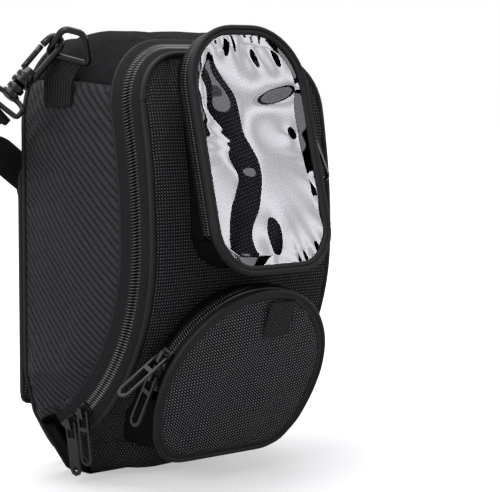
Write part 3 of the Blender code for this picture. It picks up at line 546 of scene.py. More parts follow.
def mirrored(stations):
    return [tuple(v * FLIP for v in s) for s in stations]


SIDE_COUNT = 76
side_fine = [track("side", z) for z in np.linspace(ZIP_END_Z, CORNER_Z, SIDE_COUNT)]
left_fine = side_fine + [track("corner", a) for a in np.radians(np.linspace(3, 90, 30))]
rear_fine = [track("rear", x) for x in np.linspace(-CORNER_X, CORNER_X, 22)[1:-1]]
whole_fine = left_fine + rear_fine + mirrored(reversed(left_fine))
SEAM_FINE = SIDE_COUNT + 8

# Body walls
WALL_COUNT = 34
CLOTH_FRAMES = 20
CLOTH_QUALITY = 6
CLOTH_MASS = 0.05
CLOTH_BEND = 0.5
CLOTH_PRESSURE = 2.0
PANEL_GROW = 0.012
PANEL_LIMIT = 2.0
PANEL_T = 2.6
RIB_HEIGHT = 0.7


def wall_grid(stations):
    grid = []
    for place, along, _, normal, base in stations:
        top = place - along * (TAPE_W + 0.1)
        foot = base + np.array((0, -(BASE_T + GAP), 0))
        row = []
        for t in np.linspace(0, 1, WALL_COUNT):
            bulge = WALL_BULGE * math.sin(math.pi * t) * (1 - 0.3 * t)
            row.append(foot * (1 - t) + top * t + normal * bulge)
        grid.append(row)
    return np.array(grid)


def wrinkled(p, amount, scale, seed, edge):
    """Soft dents and folds that die out towards the sewn edges."""
    rows, cols = (np.minimum(np.linspace(0, 1, n), np.linspace(1, 0, n)) / edge for n in p.shape[:2])
    mask = np.minimum(1, rows)[:, None] * np.minimum(1, cols)[None, :]
    field = cloud(p, scale, seed) + 0.45 * cloud(p, scale * 2.3, seed + 7)
    return p + grid_normals(p) * (field * mask * amount)[..., None]


def settled(p, flip, grow, limit):
    """A sheet sewn along its edges, slack and puffed out by a short cloth run, moved up to a limit."""
    rows, cols = p.shape[:2]
    mesh = bpy.data.meshes.new("cloth_start")
    mesh.from_pydata((p.reshape(-1, 3) * MM).tolist(), [], grid_faces(rows, cols, False, flip).tolist())
    sheet = bpy.data.objects.new("cloth_start", mesh)
    scene.collection.objects.link(sheet)
    index = np.arange(rows * cols).reshape(rows, cols)
    sewn = np.concatenate([index[0], index[-1], index[1:-1, 0], index[1:-1, -1]])
    sheet.vertex_groups.new(name="sewn").add(sewn.tolist(), 1.0, "REPLACE")
    change = sheet.modifiers.new("cloth", "CLOTH")
    cloth = change.settings
    cloth.vertex_group_mass = "sewn"
    cloth.quality = CLOTH_QUALITY
    cloth.mass = CLOTH_MASS
    cloth.bending_stiffness = CLOTH_BEND
    cloth.use_pressure = True
    cloth.uniform_pressure_force = CLOTH_PRESSURE
    cloth.shrink_min = -grow
    cloth.effector_weights.gravity = 0.0
    change.collision_settings.use_collision = False
    change.point_cache.frame_start = 1
    change.point_cache.frame_end = CLOTH_FRAMES
    for step in range(1, CLOTH_FRAMES + 1):
        scene.frame_set(step)
    puffed = sheet.evaluated_get(bpy.context.evaluated_depsgraph_get())
    end = np.empty(rows * cols * 3)
    puffed.data.vertices.foreach_get("co", end)
    scene.frame_set(1)
    bpy.data.objects.remove(sheet)
    move = end.reshape(p.shape) / MM - p
    far = np.linalg.norm(move, axis=-1, keepdims=True)
    return p + move * limit * np.tanh(far / limit) / np.maximum(far, 1e-6)


def panel(name, stations, material, node, flip, seed, ribs=False):
    p = settled(wall_grid(stations), flip, PANEL_GROW, PANEL_LIMIT)
    p = wrinkled(p, 0.9, 0.022, seed, 0.16)
    uv = None
    if ribs:
        p = refine(p, 330, 150)
        uv = np.stack([BASE_Y - p[..., 1], p[..., 2]], -1)
        phase = (uv[..., 0] * math.cos(RIB_TURN) - uv[..., 1] * math.sin(RIB_TURN)) / RIB_PITCH
        height = RIB_HEIGHT * np.abs(np.sin(np.pi * phase)) ** 0.6 - RIB_HEIGHT / 2
        p = p + grid_normals(p) * height[..., None] * (-1 if flip else 1)
    thicken(strip(name, p, "bag_body", material, (node,), flip, uv), PANEL_T)


left_side = left_fine[:SEAM_FINE]
left_rear = left_fine[SEAM_FINE - 1:]
panel("left_side_cloth", left_side, CARBON, "left_side_panel", False, 3.0, True)
panel("right_side_cloth", mirrored(left_side), CARBON, "right_side_panel", True, 5.0, True)
rear_stations = left_rear + rear_fine + mirrored(reversed(left_rear))
panel("rear_cloth", rear_stations, REAR, "rear_wall", False, 8.0)

# Main zip: two tapes with coils
place, rise, outward = (np.array([s[k] for s in whole_fine]) for k in range(3))
TOOTH_HALF_RUN = 0.68
TOOTH_HEIGHT = 1.35
TOOTH_LEAN = 0.18


def zip_tape(name, centre, up, out, side, width, body, node):
    offsets = np.array([2.2, 2.6, 4.0, 6.5, width - 1.2, width - 0.3, width])
    if width < 8:
        offsets = np.array([2.0, 2.4, 3.2, width - 0.8, width])
    lift = np.interp(offsets, [2.2, 3.2, width - 1.2, width], [0.0, 0.7, 0.7, -0.6])
    grid = centre[:, None] + up[:, None] * (side * offsets)[:, None] + out[:, None] * lift[:, None]
    thicken(strip(name, grid, body, TAPE, (node,), side > 0), 1.0)


def zip_teeth(name, centre, up, out, side, body, pitch, half):
    p, u, o = spaced(centre, pitch, 0.5 + (pitch / 2 if side > 0 else 0.0), [up, out])
    run = directions(p)
    slant = units(u + run * TOOTH_LEAN)
    p = p + u * (side * (half - 1.0)) + o * 0.4
    bars(name, p, (run, slant, o), (TOOTH_HALF_RUN, half, TOOTH_HEIGHT), body, COIL)


def zip_halves(prefix, run, width, halves, pitch, half_w):
    """Tapes and coils along a zip. run is (centre line, way up, way out), halves are (name, way, body)."""
    for half, way, body in halves:
        zip_tape(f"{prefix}_tape_{half}", *run, way, width, body, f"{prefix}_zip_{half}_half")
    for half, way, body in halves:
        zip_teeth(f"{prefix}_coil_{half}", *run, way, body, pitch, half_w)


main_halves = (("body", -1, "bag_body"), ("lid", 1, "main_lid"))
zip_halves("main", (place, rise, outward), TAPE_W + 0.6, main_halves, 2.1, 3.2)
stitches("main_stitch_body", place - rise * 9.6 + outward * 0.75, outward, "bag_body")
stitches("main_stitch_lid", place + rise * 9.4 + outward * 0.75, outward, "main_lid")
tube("body_edge_cord", place - rise * (TAPE_W + 0.9) + outward * 0.3, 1.5, "bag_body")
tube("lid_edge_cord", place + rise * (TAPE_W + 1.0) + outward * 0.5, 2.2, "main_lid")


# Outlines and pads
def rings(outline, count, centre):
    """Rings of points from an outline to its centre, in the outline's own plane."""
    o = np.asarray(outline, float)
    c = np.asarray(centre, float)
    return np.array([c + (o - c) * (1 - t) for t in np.linspace(0, 1, count)])


def dense(points, step, closed=True):
    """An outline cut into short even steps."""
    p = np.asarray(points, float)
    if closed:
        p = np.concatenate([p, p[:1]])
    s = lengths(p)
    wanted = np.linspace(0, s[-1], max(8, int(round(s[-1] / step))), endpoint=not closed)
    return np.stack([np.interp(wanted, s, p[:, k]) for k in range(p.shape[1])], -1)


def smooth_line(points, passes):
    """An outline with its corners eased."""
    p = np.asarray(points, float)
    for _ in range(passes):
        p = 0.25 * np.roll(p, 1, 0) + 0.5 * p + 0.25 * np.roll(p, -1, 0)
    return p


def shrunk(points, amount):
    run = directions(np.asarray(points, float), True)
    return np.asarray(points, float) + amount * np.stack([-run[:, 1], run[:, 0]], -1)


FOLD_TURN = math.radians(-28)
FOLD_ACROSS = 0.055
FOLD_ALONG = 0.013
PAD_HOLE = 0.004


def pad(name, outline, plane, thickness, crown, body, material, replaces, centre=None, count=22, seed=0.0,
        wrinkle=0.0):
    """A closed flat pad with an eased rim behind a plane, which is (origin, a axis, b axis, out axis)."""
    origin, a, b, out = plane
    o = np.asarray(outline, float)
    mid = o.mean(0) if centre is None else np.asarray(centre, float)
    reach = np.concatenate([np.linspace(0, 1, count), np.linspace(1, 0, count)])
    front = np.arange(2 * count) < count
    flat = np.array([mid + (o - mid) * max(s, PAD_HOLE) for s in reach])
    rim = 0.5 * thickness * (1 - reach ** 28 * 0.55)
    height = np.where(front, rim + crown * (1 - reach ** 2.2), -rim) - 0.5 * thickness
    p = origin + flat[..., :1] * a + flat[..., 1:] * b + height[:, None, None] * out
    if wrinkle:
        mask = (np.clip((1 - reach) * 6, 0, 1) * front)[:, None]
        c, t = math.cos(FOLD_TURN), math.sin(FOLD_TURN)
        fold = np.stack([(flat[..., 0] * c + flat[..., 1] * t) * FOLD_ACROSS,
                         (flat[..., 1] * c - flat[..., 0] * t) * FOLD_ALONG, np.zeros(flat.shape[:-1])], -1)
        field = 0.7 * cloud(p, 0.02, seed) + 0.8 * cloud(fold, 1.0, seed)
        p = p + out * (field * mask * wrinkle)[..., None]
    faces = grid_faces(2 * count, len(o), True, True)
    return put(name, p.reshape(-1, 3), faces, body, material, replaces, flat)


# Base panel, nose and bottom binding
outline = [(-base_edge(z), z) for z in np.linspace(0, BASE_SIDE_Z1, 60)]
outline += [base_corner(t) for t in np.radians(np.linspace(4, 90, 20))]
base_outline = outline + [(-x, z) for x, z in reversed(outline)]
pad("base_cloth", dense(base_outline, 5.0), (at(0, 0, 0), X, Z, Y), BASE_T, 0.0, "bag_body", BALLISTIC,
    ("base_panel",), (0, 150))
edge_path = np.array([at(x, 1.6, max(z, 1.8)) for x, z in dense(base_outline, 4.0)])
tube("base_edge_cord", edge_path, 1.7, "bag_body", closed=True)
nose_plan = [(-base_edge(z), z) for z in (ZIP_END_Z - 1.5, 24.0, 12.0, 0.0)]
nose_plan = nose_plan + [(0.0, 0.0)] + [(-x, z) for x, z in reversed(nose_plan)]
NOSE_HALVES = (0, NOSE_HALF, NOSE_HALF + 10, 200)
NOSE_TOPS = (NOSE_TOP_H, NOSE_TOP_H, 17.5, 16.0)
nose_rows = []
for x, z in dense(nose_plan, 3.0, False):
    top = float(np.interp(abs(x), NOSE_HALVES, NOSE_TOPS))
    nose_rows.append([at(x, h, z) for h in np.linspace(top, BASE_T + GAP, 12)])
# The nose takes the darker gusset cloth: painted shade under the lid
thicken(strip("nose_cloth", np.array(nose_rows), "bag_body", GUSSET_PAINTED_SHADE, ("front_nose",)), PANEL_T)

# Main lid
LID_Z = (0.6, 1.2, 9, 24, 45, 75, 110, 168, 235, 300)
LID_H = (25, 40, 54, 68, 82, 98, 111, 117, 109, 92)
LID_FRONT = ((0.6, 58.0), (1.2, 60.0), (9.0, 66.0), (24.0, 76.0))
LID_FRONT_H = 24.6
LID_STEPS = (ZIP_END_Z, 48, 60, 78, 100, 130, 168, 205, 235, CORNER_Z)
LID_ROWS = 120
LID_COLS = 81
LID_GROW = 0.015
LID_LIMIT = 2.2
SPREAD = (-1, -0.85, -0.6, -0.3, 0, 0.3, 0.6, 0.85, 1)
lid_rows = []
for z, half in LID_FRONT:
    rise_h = float(np.interp(z, LID_Z, LID_H)) - LID_FRONT_H
    lid_rows.append([at(half * t, LID_FRONT_H + rise_h * (1 - abs(t) ** 3), z + 1.5 * abs(t))
                     for t in SPREAD])
coarse = [track("side", z) for z in LID_STEPS] + [track("corner", math.radians(a)) for a in range(15, 91, 15)]
for station in coarse:
    edge = station[0] + station[1] * (TAPE_W + LID_EDGE_GAP)
    edge_h = BASE_Y - edge[1]
    rise_h = max(0.0, float(np.interp(edge[2], LID_Z, LID_H)) - edge_h)
    lid_rows.append([at(-edge[0] * t, edge_h + rise_h * (1 - abs(t) ** 2.4), edge[2]) for t in SPREAD])
lid_grid = refine(lid_rows, LID_ROWS, LID_COLS)
lid_grid[..., 2] = np.maximum(lid_grid[..., 2], LID_Z[0])
lid_grid = settled(lid_grid, False, LID_GROW, LID_LIMIT)
lid_grid = wrinkled(lid_grid, 1.0, 0.03, 11.0, 0.1)
lid_across = arc_length(lid_grid, 1)
lid_along = arc_length(lid_grid, 0)
lid_uv = paired(lid_across - lid_across[:, LID_COLS // 2][:, None], lid_along - lid_along[LID_ROWS // 2])
thicken(strip("lid_cloth", lid_grid, "main_lid", BALLISTIC, ("lid_panel",), False, lid_uv), 2.4)
lid_tree = BVHTree.FromPolygons([tuple(v) for v in lid_grid.reshape(-1, 3)],
                                grid_faces(LID_ROWS, LID_COLS).tolist())


def lid_surface(x, z):
    hit = None
    while hit is None:
        hit = lid_tree.ray_cast(Vector((x, -300.0, z)), Vector((0, 1, 0)))[0]
        z += 1.0 if z < 100 else -1.0
        x *= 0.995
    return np.array(hit)


# Pockets
def slope_frame(z0, h0, slope):
    """Origin, a axis across, axis up the slope and axis out of it."""
    up = np.array((0, math.sin(slope), math.cos(slope)))
    out = np.array((0, -math.cos(slope), math.sin(slope)))
    return at(0, h0, z0), X, up, out


def rounded(half, low, high, r_low, r_top, steps=10):
    """A rectangle's outline with one radius at its low corners and another at its high ones."""
    points = []
    for x, q, r, first in ((half - r_low, low + r_low, r_low, -90), (half - r_top, high - r_top, r_top, 0),
                           (r_top - half, high - r_top, r_top, 90), (r_low - half, low + r_low, r_low, 180)):
        for k in range(steps + 1):
            t = math.radians(first + 90 * k / steps)
            points.append((x + r * math.cos(t), q + r * math.sin(t)))
    return points


def on_plane(line, plane, depth):
    origin, a, up, out = plane
    line = np.asarray(line, float)
    return origin + line[:, :1] * a + line[:, 1:] * up - np.broadcast_to(depth, len(line))[:, None] * out


def sideways(run, plane):
    """The way out of an outline, in its plane, where the outline runs along run."""
    return run[:, 1:] * plane[1] - run[:, :1] * plane[2]


phone_plane = slope_frame(PHONE_Z0, PHONE_H0, PHONE_SLOPE)
phone_line = dense(rounded(PHONE_HALF, 0.0, PHONE_LEN, PHONE_R_LOW, PHONE_R_TOP), 3.0)
round_plane = slope_frame(ROUND_Z0, ROUND_H0, ROUND_SLOPE)
half_round = [(ROUND_FLAT_HALF, 0.0), (54.0, 5.0), (65.5, 20.0), (71.5, 40.0)]
half_round += [(ROUND_R * math.cos(t), ROUND_CENTRE + ROUND_R * math.sin(t))
               for t in np.radians(range(0, 91, 5))]
round_line = smooth_line(dense(half_round + [(-x, q) for x, q in reversed(half_round[:-1])], 3.0), 4)
PHONE_CHAIN = PHONE_FRAME_T + GAP + POCKET_TAPE
ROUND_CHAIN = ROUND_LID_T + GAP + POCKET_TAPE
WALL_INSET = POCKET_INSET + 1.0
WALL_SLACK = 1.8
WALL_UV_H = 40.0
ZIP_LOW_Q = 30


def pocket_wall(name, line, plane, top_depth, low_z, high_z, node, seed):
    """A pocket's side from under its zip down to the lid, a little slack."""
    inner = shrunk(line, WALL_INSET)
    top = on_plane(inner, plane, top_depth)
    foot = np.array([lid_surface(p[0], min(high_z, max(low_z, p[2]))) for p in top])
    t = np.linspace(0, 1, 16)[:, None, None]
    grid = top[None] * (1 - t) + foot[None] * t
    slack = cloud(grid, 0.035, seed) * np.sin(np.pi * t[..., 0]) * WALL_SLACK
    grid = grid + sideways(directions(inner, True), plane)[None] * slack[..., None]
    uv = paired(lengths(top), t[..., 0] * WALL_UV_H)
    faces = grid_faces(*grid.shape[:2], True, True)
    # The pocket's side takes the darker gusset cloth: painted shade in the pocket's recess
    thicken(put(name, grid.reshape(-1, 3), faces, "main_lid", GUSSET_PAINTED_SHADE, (node,), uv), 2.0)


phone_depth = np.where(phone_line[:, 1] > 24, PHONE_CHAIN + POCKET_TAPE - 0.6, PHONE_FRAME_T + GAP)
pocket_wall("phone_wall_cloth", phone_line, phone_plane, phone_depth, 5.0, 294.0, "phone_pocket_wall", 21.0)
round_zipped = round_line[:, 1] > ROUND_CENTRE - 8
round_depth = np.where(round_zipped, ROUND_CHAIN + POCKET_TAPE - 0.6, ROUND_LID_T + GAP)
pocket_wall("round_wall_cloth", round_line, round_plane, round_depth, 4.0, 290.0, "round_pocket_wall", 27.0)


def pocket_zip(prefix, line, plane, depth):
    """Tape and coil halves along an open run of a pocket's edge."""
    centre = on_plane(line, plane, depth)
    side = sideways(directions(np.asarray(line, float)), plane)
    up = np.broadcast_to(plane[3], centre.shape)
    halves = (("wall", -1, "main_lid"), ("lid", 1, prefix + "_lid"))
    zip_halves(prefix, (centre, up, side), POCKET_TAPE, halves, 1.8, 2.5)


# A light cloth laid on the lid inside the phone pocket: painted light for the light falling in through the
# film
back_line = dense(shrunk(phone_line, 7.0), 5.0)
back_flat = rings(back_line, 26, (0.0, PHONE_LEN / 2))
back_place = on_plane(back_flat.reshape(-1, 2), phone_plane, 0.0)
back_cloth = np.array([lid_surface(p[0], min(292.0, p[2])) for p in back_place]) - Y * 1.2
thicken(put("phone_back_painted_light_cloth", back_cloth, grid_faces(26, len(back_line), True), "main_lid", POCKET_FLOOR_PAINTED_LIGHT,
            (), back_flat), 0.8)
low_end = int(np.argmin(np.abs(phone_line[:, 1] - ZIP_LOW_Q) + 200 * (phone_line[:, 0] < 0)))
phone_turned = np.roll(phone_line, -low_end, 0)
zip_count = int(np.argmin(np.abs(phone_turned[:, 1] - ZIP_LOW_Q) + 200 * (phone_turned[:, 0] > 0))) + 1
phone_zip = np.roll(shrunk(phone_line, POCKET_INSET), -low_end, 0)[:zip_count]
pocket_zip("phone", phone_zip, phone_plane, PHONE_CHAIN)
arch = np.radians(np.linspace(0, 180, 90))
arch_r = ROUND_R - POCKET_INSET
round_zip = np.stack([arch_r * np.cos(arch), ROUND_CENTRE + arch_r * np.sin(arch)], -1)
pocket_zip("round", round_zip, round_plane, ROUND_CHAIN)

# Phone pocket lid: padded frame with a cord round its rim, and the clear film
FILM_RIM = 6.2
FRAME_SHAPE = [(0.2, -4.6), (-0.1, -2.6), (0.5, -1.2), (2.0, -0.9), (2.9, -0.9), (3.4, 0.0), (4.2, 0.2),
               (5.4, 0.0), (FILM_RIM, -0.6), (FILM_RIM + 0.1, -1.6), (FILM_RIM, -4.0), (4.5, -4.9),
               (1.5, -4.95)]


def swept_frame(name, line, plane, shape, body, replaces=()):
    """A bound rim. shape is its section as distances in from the outline and up from the plane."""
    grid = np.array([on_plane(shrunk(line, inset), plane, -lift) for inset, lift in shape])
    uv = paired(lengths(grid[0]), lengths(np.array(shape))[:, None])
    faces = tube_faces(len(shape), grid.shape[1], True)
    put(name, grid.reshape(-1, 3), faces, body, BINDING, replaces, uv)


swept_frame("phone_frame_cloth", phone_line, phone_plane, FRAME_SHAPE, "phone_lid", ("phone_lid_frame",))
tube("phone_rim_cord", on_plane(shrunk(phone_line, 1.5), phone_plane, 0.9), 1.7, "phone_lid", closed=True)
# Slack film: a long S-shaped step, tilted facets and gathers along the sewn edge
FILM_RINGS = 120
FILM_DROP = 5.0
FILM_SINK = 1.6
FILM_EASE = 11.0
STEP_Q = (0, 23, 35, 49, 59, 70, 83, 96, 103, 113, 121, 131, 139, 150, 170)
STEP_RIGHT = (-14, -13, -11, -5, -1.6, 0, 0, -2.6, -5, -10.7, -16.7, -24, -28, -29.5, -27)
STEP_LEFT = (-27, -34, -33, -28, -22, -17, -27, -32, -35, -38, -41, -44, -46, -47, -46)
# Facets: middle x and q, half sizes, turn, slope along x and along q
FACETS = ((3, 25, 15, 15, -14, 0.27, 0.0), (25, 122, 24, 12, 14, 0.0, 0.5), (35, 95, 6, 4.5, 0, 0.24, 0.0),
          (8, 147, 5, 9, 28, 0.27, 0.0), (-15, 156, 4.5, 9, -25, 0.27, 0.0),
          (-44, 116, 13, 12, 0, -0.58, 0.0), (27, 147, 5, 8, 20, 0.27, 0.0))
film_line = dense(shrunk(phone_line, FILM_RIM - 1.2), 1.3)
film_mid = np.array((0.0, PHONE_LEN / 2))
film_flat = rings(film_line, FILM_RINGS, film_mid)
film_flat[-1] = film_flat[-1] + (film_line - film_line.mean(0)) * 0.002


def ramp(t):
    """Rises from 0 to 1 over t = 0 to 1 with eased ends."""
    return (np.logaddexp(0, FILM_EASE * t) - np.logaddexp(0, FILM_EASE * (t - 1))) / FILM_EASE


def film_lift(x, q):
    """The film's height over its plane: down along the step's left, with the facets on top."""
    edges = [spline(np.stack([STEP_Q, step], -1), 200) for step in (STEP_RIGHT, STEP_LEFT)]
    x_right, x_left = (np.interp(q, edge[:, 0], edge[:, 1]) for edge in edges)
    height = -FILM_DROP * ramp((x_right - x) / (x_right - x_left))
    for fx, fq, sx, sq, turn, tilt_x, tilt_q in FACETS:
        c, t = math.cos(math.radians(turn)), math.sin(math.radians(turn))
        u, v = (x - fx) * c + (q - fq) * t, (q - fq) * c - (x - fx) * t
        near = 1 / (1 + np.square(u / sx) + np.square(v / sq))
        height = height + (u * tilt_x + v * tilt_q) * near
    return height


inward = np.linspace(0, 1, FILM_RINGS)[:, None] * np.linalg.norm(film_line - film_mid, axis=1)
film_run = lengths(film_line)
film_p3 = np.concatenate([film_flat, np.zeros(film_flat.shape[:2] + (1,))], -1)
gather = np.sin(film_run * 0.34 + 2.6 * np.sin(film_run * 0.061))
gather = gather * (0.5 + 0.5 * np.sin(film_run * 0.027 + 1.0))
gather = 0.5 * gather * np.exp(-inward / 9.0) * np.clip(inward / 2.0, 0, 1)
lift = film_lift(film_flat[..., 0], film_flat[..., 1]) * np.clip(inward / 8.0, 0, 1)
lift = lift + gather + 0.9 * cloud(film_p3, 0.025, 31.0) * np.clip(inward / 10.0, 0, 1)
film_grid = on_plane(film_flat.reshape(-1, 2), phone_plane, FILM_SINK - lift.ravel())
film = put("window_film", film_grid, grid_faces(FILM_RINGS, len(film_line), True), "phone_lid", FILM,
           ("phone_window",), film_flat)

# Round pocket lid: coarse woven pad, flat binding and cord round its rim, webbing tab
round_pad = pad("round_lid_cloth", shrunk(round_line, 1.2), round_plane, ROUND_LID_T, 2.0, "round_lid",
                COARSE, ("round_pocket_lid",), (0.0, 60.0), 30, 41.0, 2.6)
BAND_SHAPE = [(0.6, -3.4), (0.0, -1.6), (0.5, -0.2), (1.8, 0.55), (3.6, 0.75), (5.6, 0.75), (6.4, 0.3),
              (6.2, -0.6), (3.0, -1.6), (1.4, -3.2)]
swept_frame("round_band", round_line, round_plane, BAND_SHAPE, "round_lid")
tube("round_rim_cord", on_plane(shrunk(round_line, 0.6), round_plane, 0.3), 1.9, "round_lid", closed=True)
TAB_X = 14.0
TAB_Q = 108.0
TAB_LEN = 27.0
tab_u = np.linspace(-11.5, 11.5, 20)
tab_v = np.linspace(-TAB_LEN / 2, TAB_LEN / 2, 24)
tab_uv = np.stack(np.meshgrid(tab_u, tab_v), -1)
tab_lift = 2.6 + 0.9 * np.cos(np.pi * tab_uv[..., 1] / TAB_LEN)
tab_grid = on_plane((tab_uv + (TAB_X, TAB_Q)).reshape(-1, 2), round_plane, -tab_lift.ravel())
thicken(strip("round_tab_webbing", tab_grid.reshape(24, 20, 3), "round_lid", HERRINGBONE,
              ("round_pocket_tab",), False, tab_uv), 1.8)

# Magnetic flaps folded behind the base: padded, bound, with reflective piping on the wings
HINGE_CLEAR = 7.0
FLAP_T = 5.0
FLAP_PLANE = (np.array((0, 15.5, 0.0)), X, Z, Y)
FLAP_BIND_Y = 13.0


def flap(name, line, hinge_z=None):
    """A flap with a bound edge. With a hinge height the binding keeps clear of the base's edge there."""
    edge = smooth_line(dense(line, 4.0), 3)
    cover = pad(name + "_pad", shrunk(edge, 0.8), FLAP_PLANE, FLAP_T, 0.4, name, BALLISTIC,
                (name + "_lining", name + "_cover"), count=18)
    path = np.array([(x, FLAP_BIND_Y, z) for x, z in shrunk(edge, 1.4)])
    if hinge_z is not None:
        free = np.abs(path[:, 2] - hinge_z) > HINGE_CLEAR
        first = np.flatnonzero(free & ~np.roll(free, 1))[0]
        path = np.roll(path, -first, 0)[:np.count_nonzero(free)]
    tube(name + "_binding", path, 1.9, name, closed=hinge_z is None)


WING_AXIS_X = BASE_HALF + 2.0
REAR_AXIS_Z = BASE_SIDE_Z1 + BASE_CORNER_Z + 0.5
PIPING_Y = 15.9
wing_line = [(0.8, 52), (28, 50), (50, 58), (60, 80), (76, 98), (96, 112), (98, 130), (92, 156), (70, 186),
             (40, 206), (20, 214), (0.8, 218)]
wing_piping = [(3, 209), (22, 198), (48, 180), (70, 156), (82, 130), (72, 110), (54, 92)]
for name, side in (("left_wing", -1), ("right_wing", 1)):
    shape = [(side * (WING_AXIS_X - u), z) for u, z in wing_line]
    flap(name, shape if side < 0 else shape[::-1])
    path = spline([(side * (WING_AXIS_X - u), PIPING_Y, z) for u, z in wing_piping], 60)
    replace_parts(tube(name + "_reflective", path, 1.3, name, REFLECT), name + "_piping")
half_front = [(44, 0.8), (40, 40), (37, 70), (28, 88), (12, 96)]
flap("front_flap", [(-44, 0.8)] + half_front + [(-x, z) for x, z in half_front[:0:-1]])
half_rear = [(38, 0.8), (36, 40), (31, 60), (20, 72)]
rear_line = [(-38, 0.8)] + half_rear + [(0, 77)] + [(-x, z) for x, z in half_rear[:0:-1]]
flap("rear_flap", [(x, REAR_AXIS_Z - z) for x, z in rear_line][::-1], REAR_AXIS_Z)

# Ring tabs
RING_MID = at(-98.0, 51.0, 293.0)
RING_UP = unit((-0.15, -0.5, 0.85))
TAB_ACROSS = unit((0.35, -0.93, 0.08))
TAB_HALF = 10.5
TAB_ROWS = 18


def across_from(axis, wanted):
    return unit(wanted - axis * np.dot(axis, wanted))


RING_ACROSS = across_from(RING_UP, np.array((0.6, -0.78, 0.1)))
tab_path = [at(-102.2, 46.0, 261.0), at(-103.2, 47.0, 270.0), at(-103.5, 49.0, 281.0)]
tab_path.append(RING_MID + across_from(RING_ACROSS, tab_path[2] - RING_MID) * 1.9)
tab_side = spline([TAB_ACROSS * (1 - t) + RING_ACROSS * t for t in (0.0, 0.33, 0.67, 1.0)], TAB_ROWS)
spread = np.linspace(-TAB_HALF, TAB_HALF, 14)
left_tab = spline(tab_path, TAB_ROWS)[:, None] + tab_side[:, None] * spread[:, None]
tab_uv = paired(spread, np.linspace(0, 34, TAB_ROWS)[:, None])
for side, turn in (("left", np.ones(3)), ("right", FLIP)):
    tab = strip(side + "_tab_webbing", left_tab * turn, "bag_body", WEBBING, (side + "_ring_tab",),
                side == "right", tab_uv)
    thicken(tab, 2.2, 0.0)

# Rings and snap hooks
HOOK_LEN = 66.0
HOOK_SEAT = 9.4
RIGHT_TURN = math.radians(25)
left_hook = unit((0.68, -0.12, 0.72))
right_hook = unit((-0.25, -0.05, 0.97))
left_clip = RING_MID - RING_ACROSS * 12.0 + RING_UP * 7.0
right_up = FLIP * (np.cross(RING_ACROSS, RING_UP) * math.cos(RIGHT_TURN) - RING_UP * math.sin(RIGHT_TURN))
right_clip = FLIP * RING_MID + right_up * 21.5 - right_hook * 2.9
left_eye = left_clip - left_hook * (HOOK_LEN - HOOK_SEAT)
right_eye = right_clip - right_hook * (HOOK_LEN - HOOK_SEAT)


def lathe(name, profile, axes, body, sides=24):
    """A turned piece. profile is (distance along the axis, radius), axes is (origin, axis, a, b)."""
    origin, axis, a, b = axes
    angles = np.linspace(0, 2 * np.pi, sides, endpoint=False)
    ring = np.cos(angles)[:, None] * a + np.sin(angles)[:, None] * b
    grid = np.array([origin + axis * u + ring * r for u, r in profile])
    put(name, grid.reshape(-1, 3), grid_faces(len(profile), sides, True), body, PLASTIC)


def flat_bar(name, path, half_v, half_t, axes, body, node, closed=False, sides=14):
    """A bent bar with an oval section that lies in the hook's plane."""
    origin, axis, a, b = axes
    line = dense(path, 0.8, closed)
    eased = smooth_line(line, 8)
    line = eased if closed else np.concatenate([line[:1], eased[8:-8], line[-1:]])
    run = directions(line, closed)
    angles = np.linspace(0, 2 * np.pi, sides, endpoint=False)
    side = run[:, 1:] * axis - run[:, :1] * a
    centre = origin + line[:, :1] * axis + line[:, 1:] * a
    grid = (centre[:, None] + side[:, None] * (half_v * np.cos(angles))[:, None]
            + b * (half_t * np.sin(angles))[:, None])
    faces = tube_faces(len(line), sides, closed)
    return put(name, grid.reshape(-1, 3), faces, body, PLASTIC, (node,))


RING_PATH = [(-13.0, 0.0), (13.0, 0.0), (13.5, 3.0), (8.0, 19.0), (5.0, 21.5), (-5.0, 21.5), (-8.0, 19.0),
             (-13.5, 3.0)]
HOOK_PATH = [(28.0, -4.9), (58.0, -4.9), (62.6, -3.4), (63.8, 0.0), (62.6, 3.4), (58.0, 5.2), (53.0, 5.4)]
GATE_PATH = [(31.8, 5.2), (51.4, 5.4)]
LOOP_PATH = [(1.7, -13.3), (1.7, 13.3), (8.8, 13.3), (10.8, 8.0), (10.8, -8.0), (8.8, -13.3)]
COLLAR = [(20.9, 0.05), (20.9, 6.0), (21.5, 6.8), (23.6, 6.8), (24.2, 5.2), (25.6, 5.2), (26.2, 6.4),
          (28.6, 6.4), (29.4, 5.4), (33.0, 4.8), (33.6, 4.0), (33.6, 0.05)]
STEM = [(9.4, 0.05), (9.4, 4.6), (10.6, 6.2), (13.0, 6.4), (13.6, 4.4), (15.2, 4.4), (15.8, 6.0), (18.4, 6.0),
        (19.0, 4.2), (20.6, 4.2), (20.6, 0.05)]
right_across = FLIP * RING_ACROSS
left_run = RING_ACROSS * 5.5 + RING_UP * 16.0
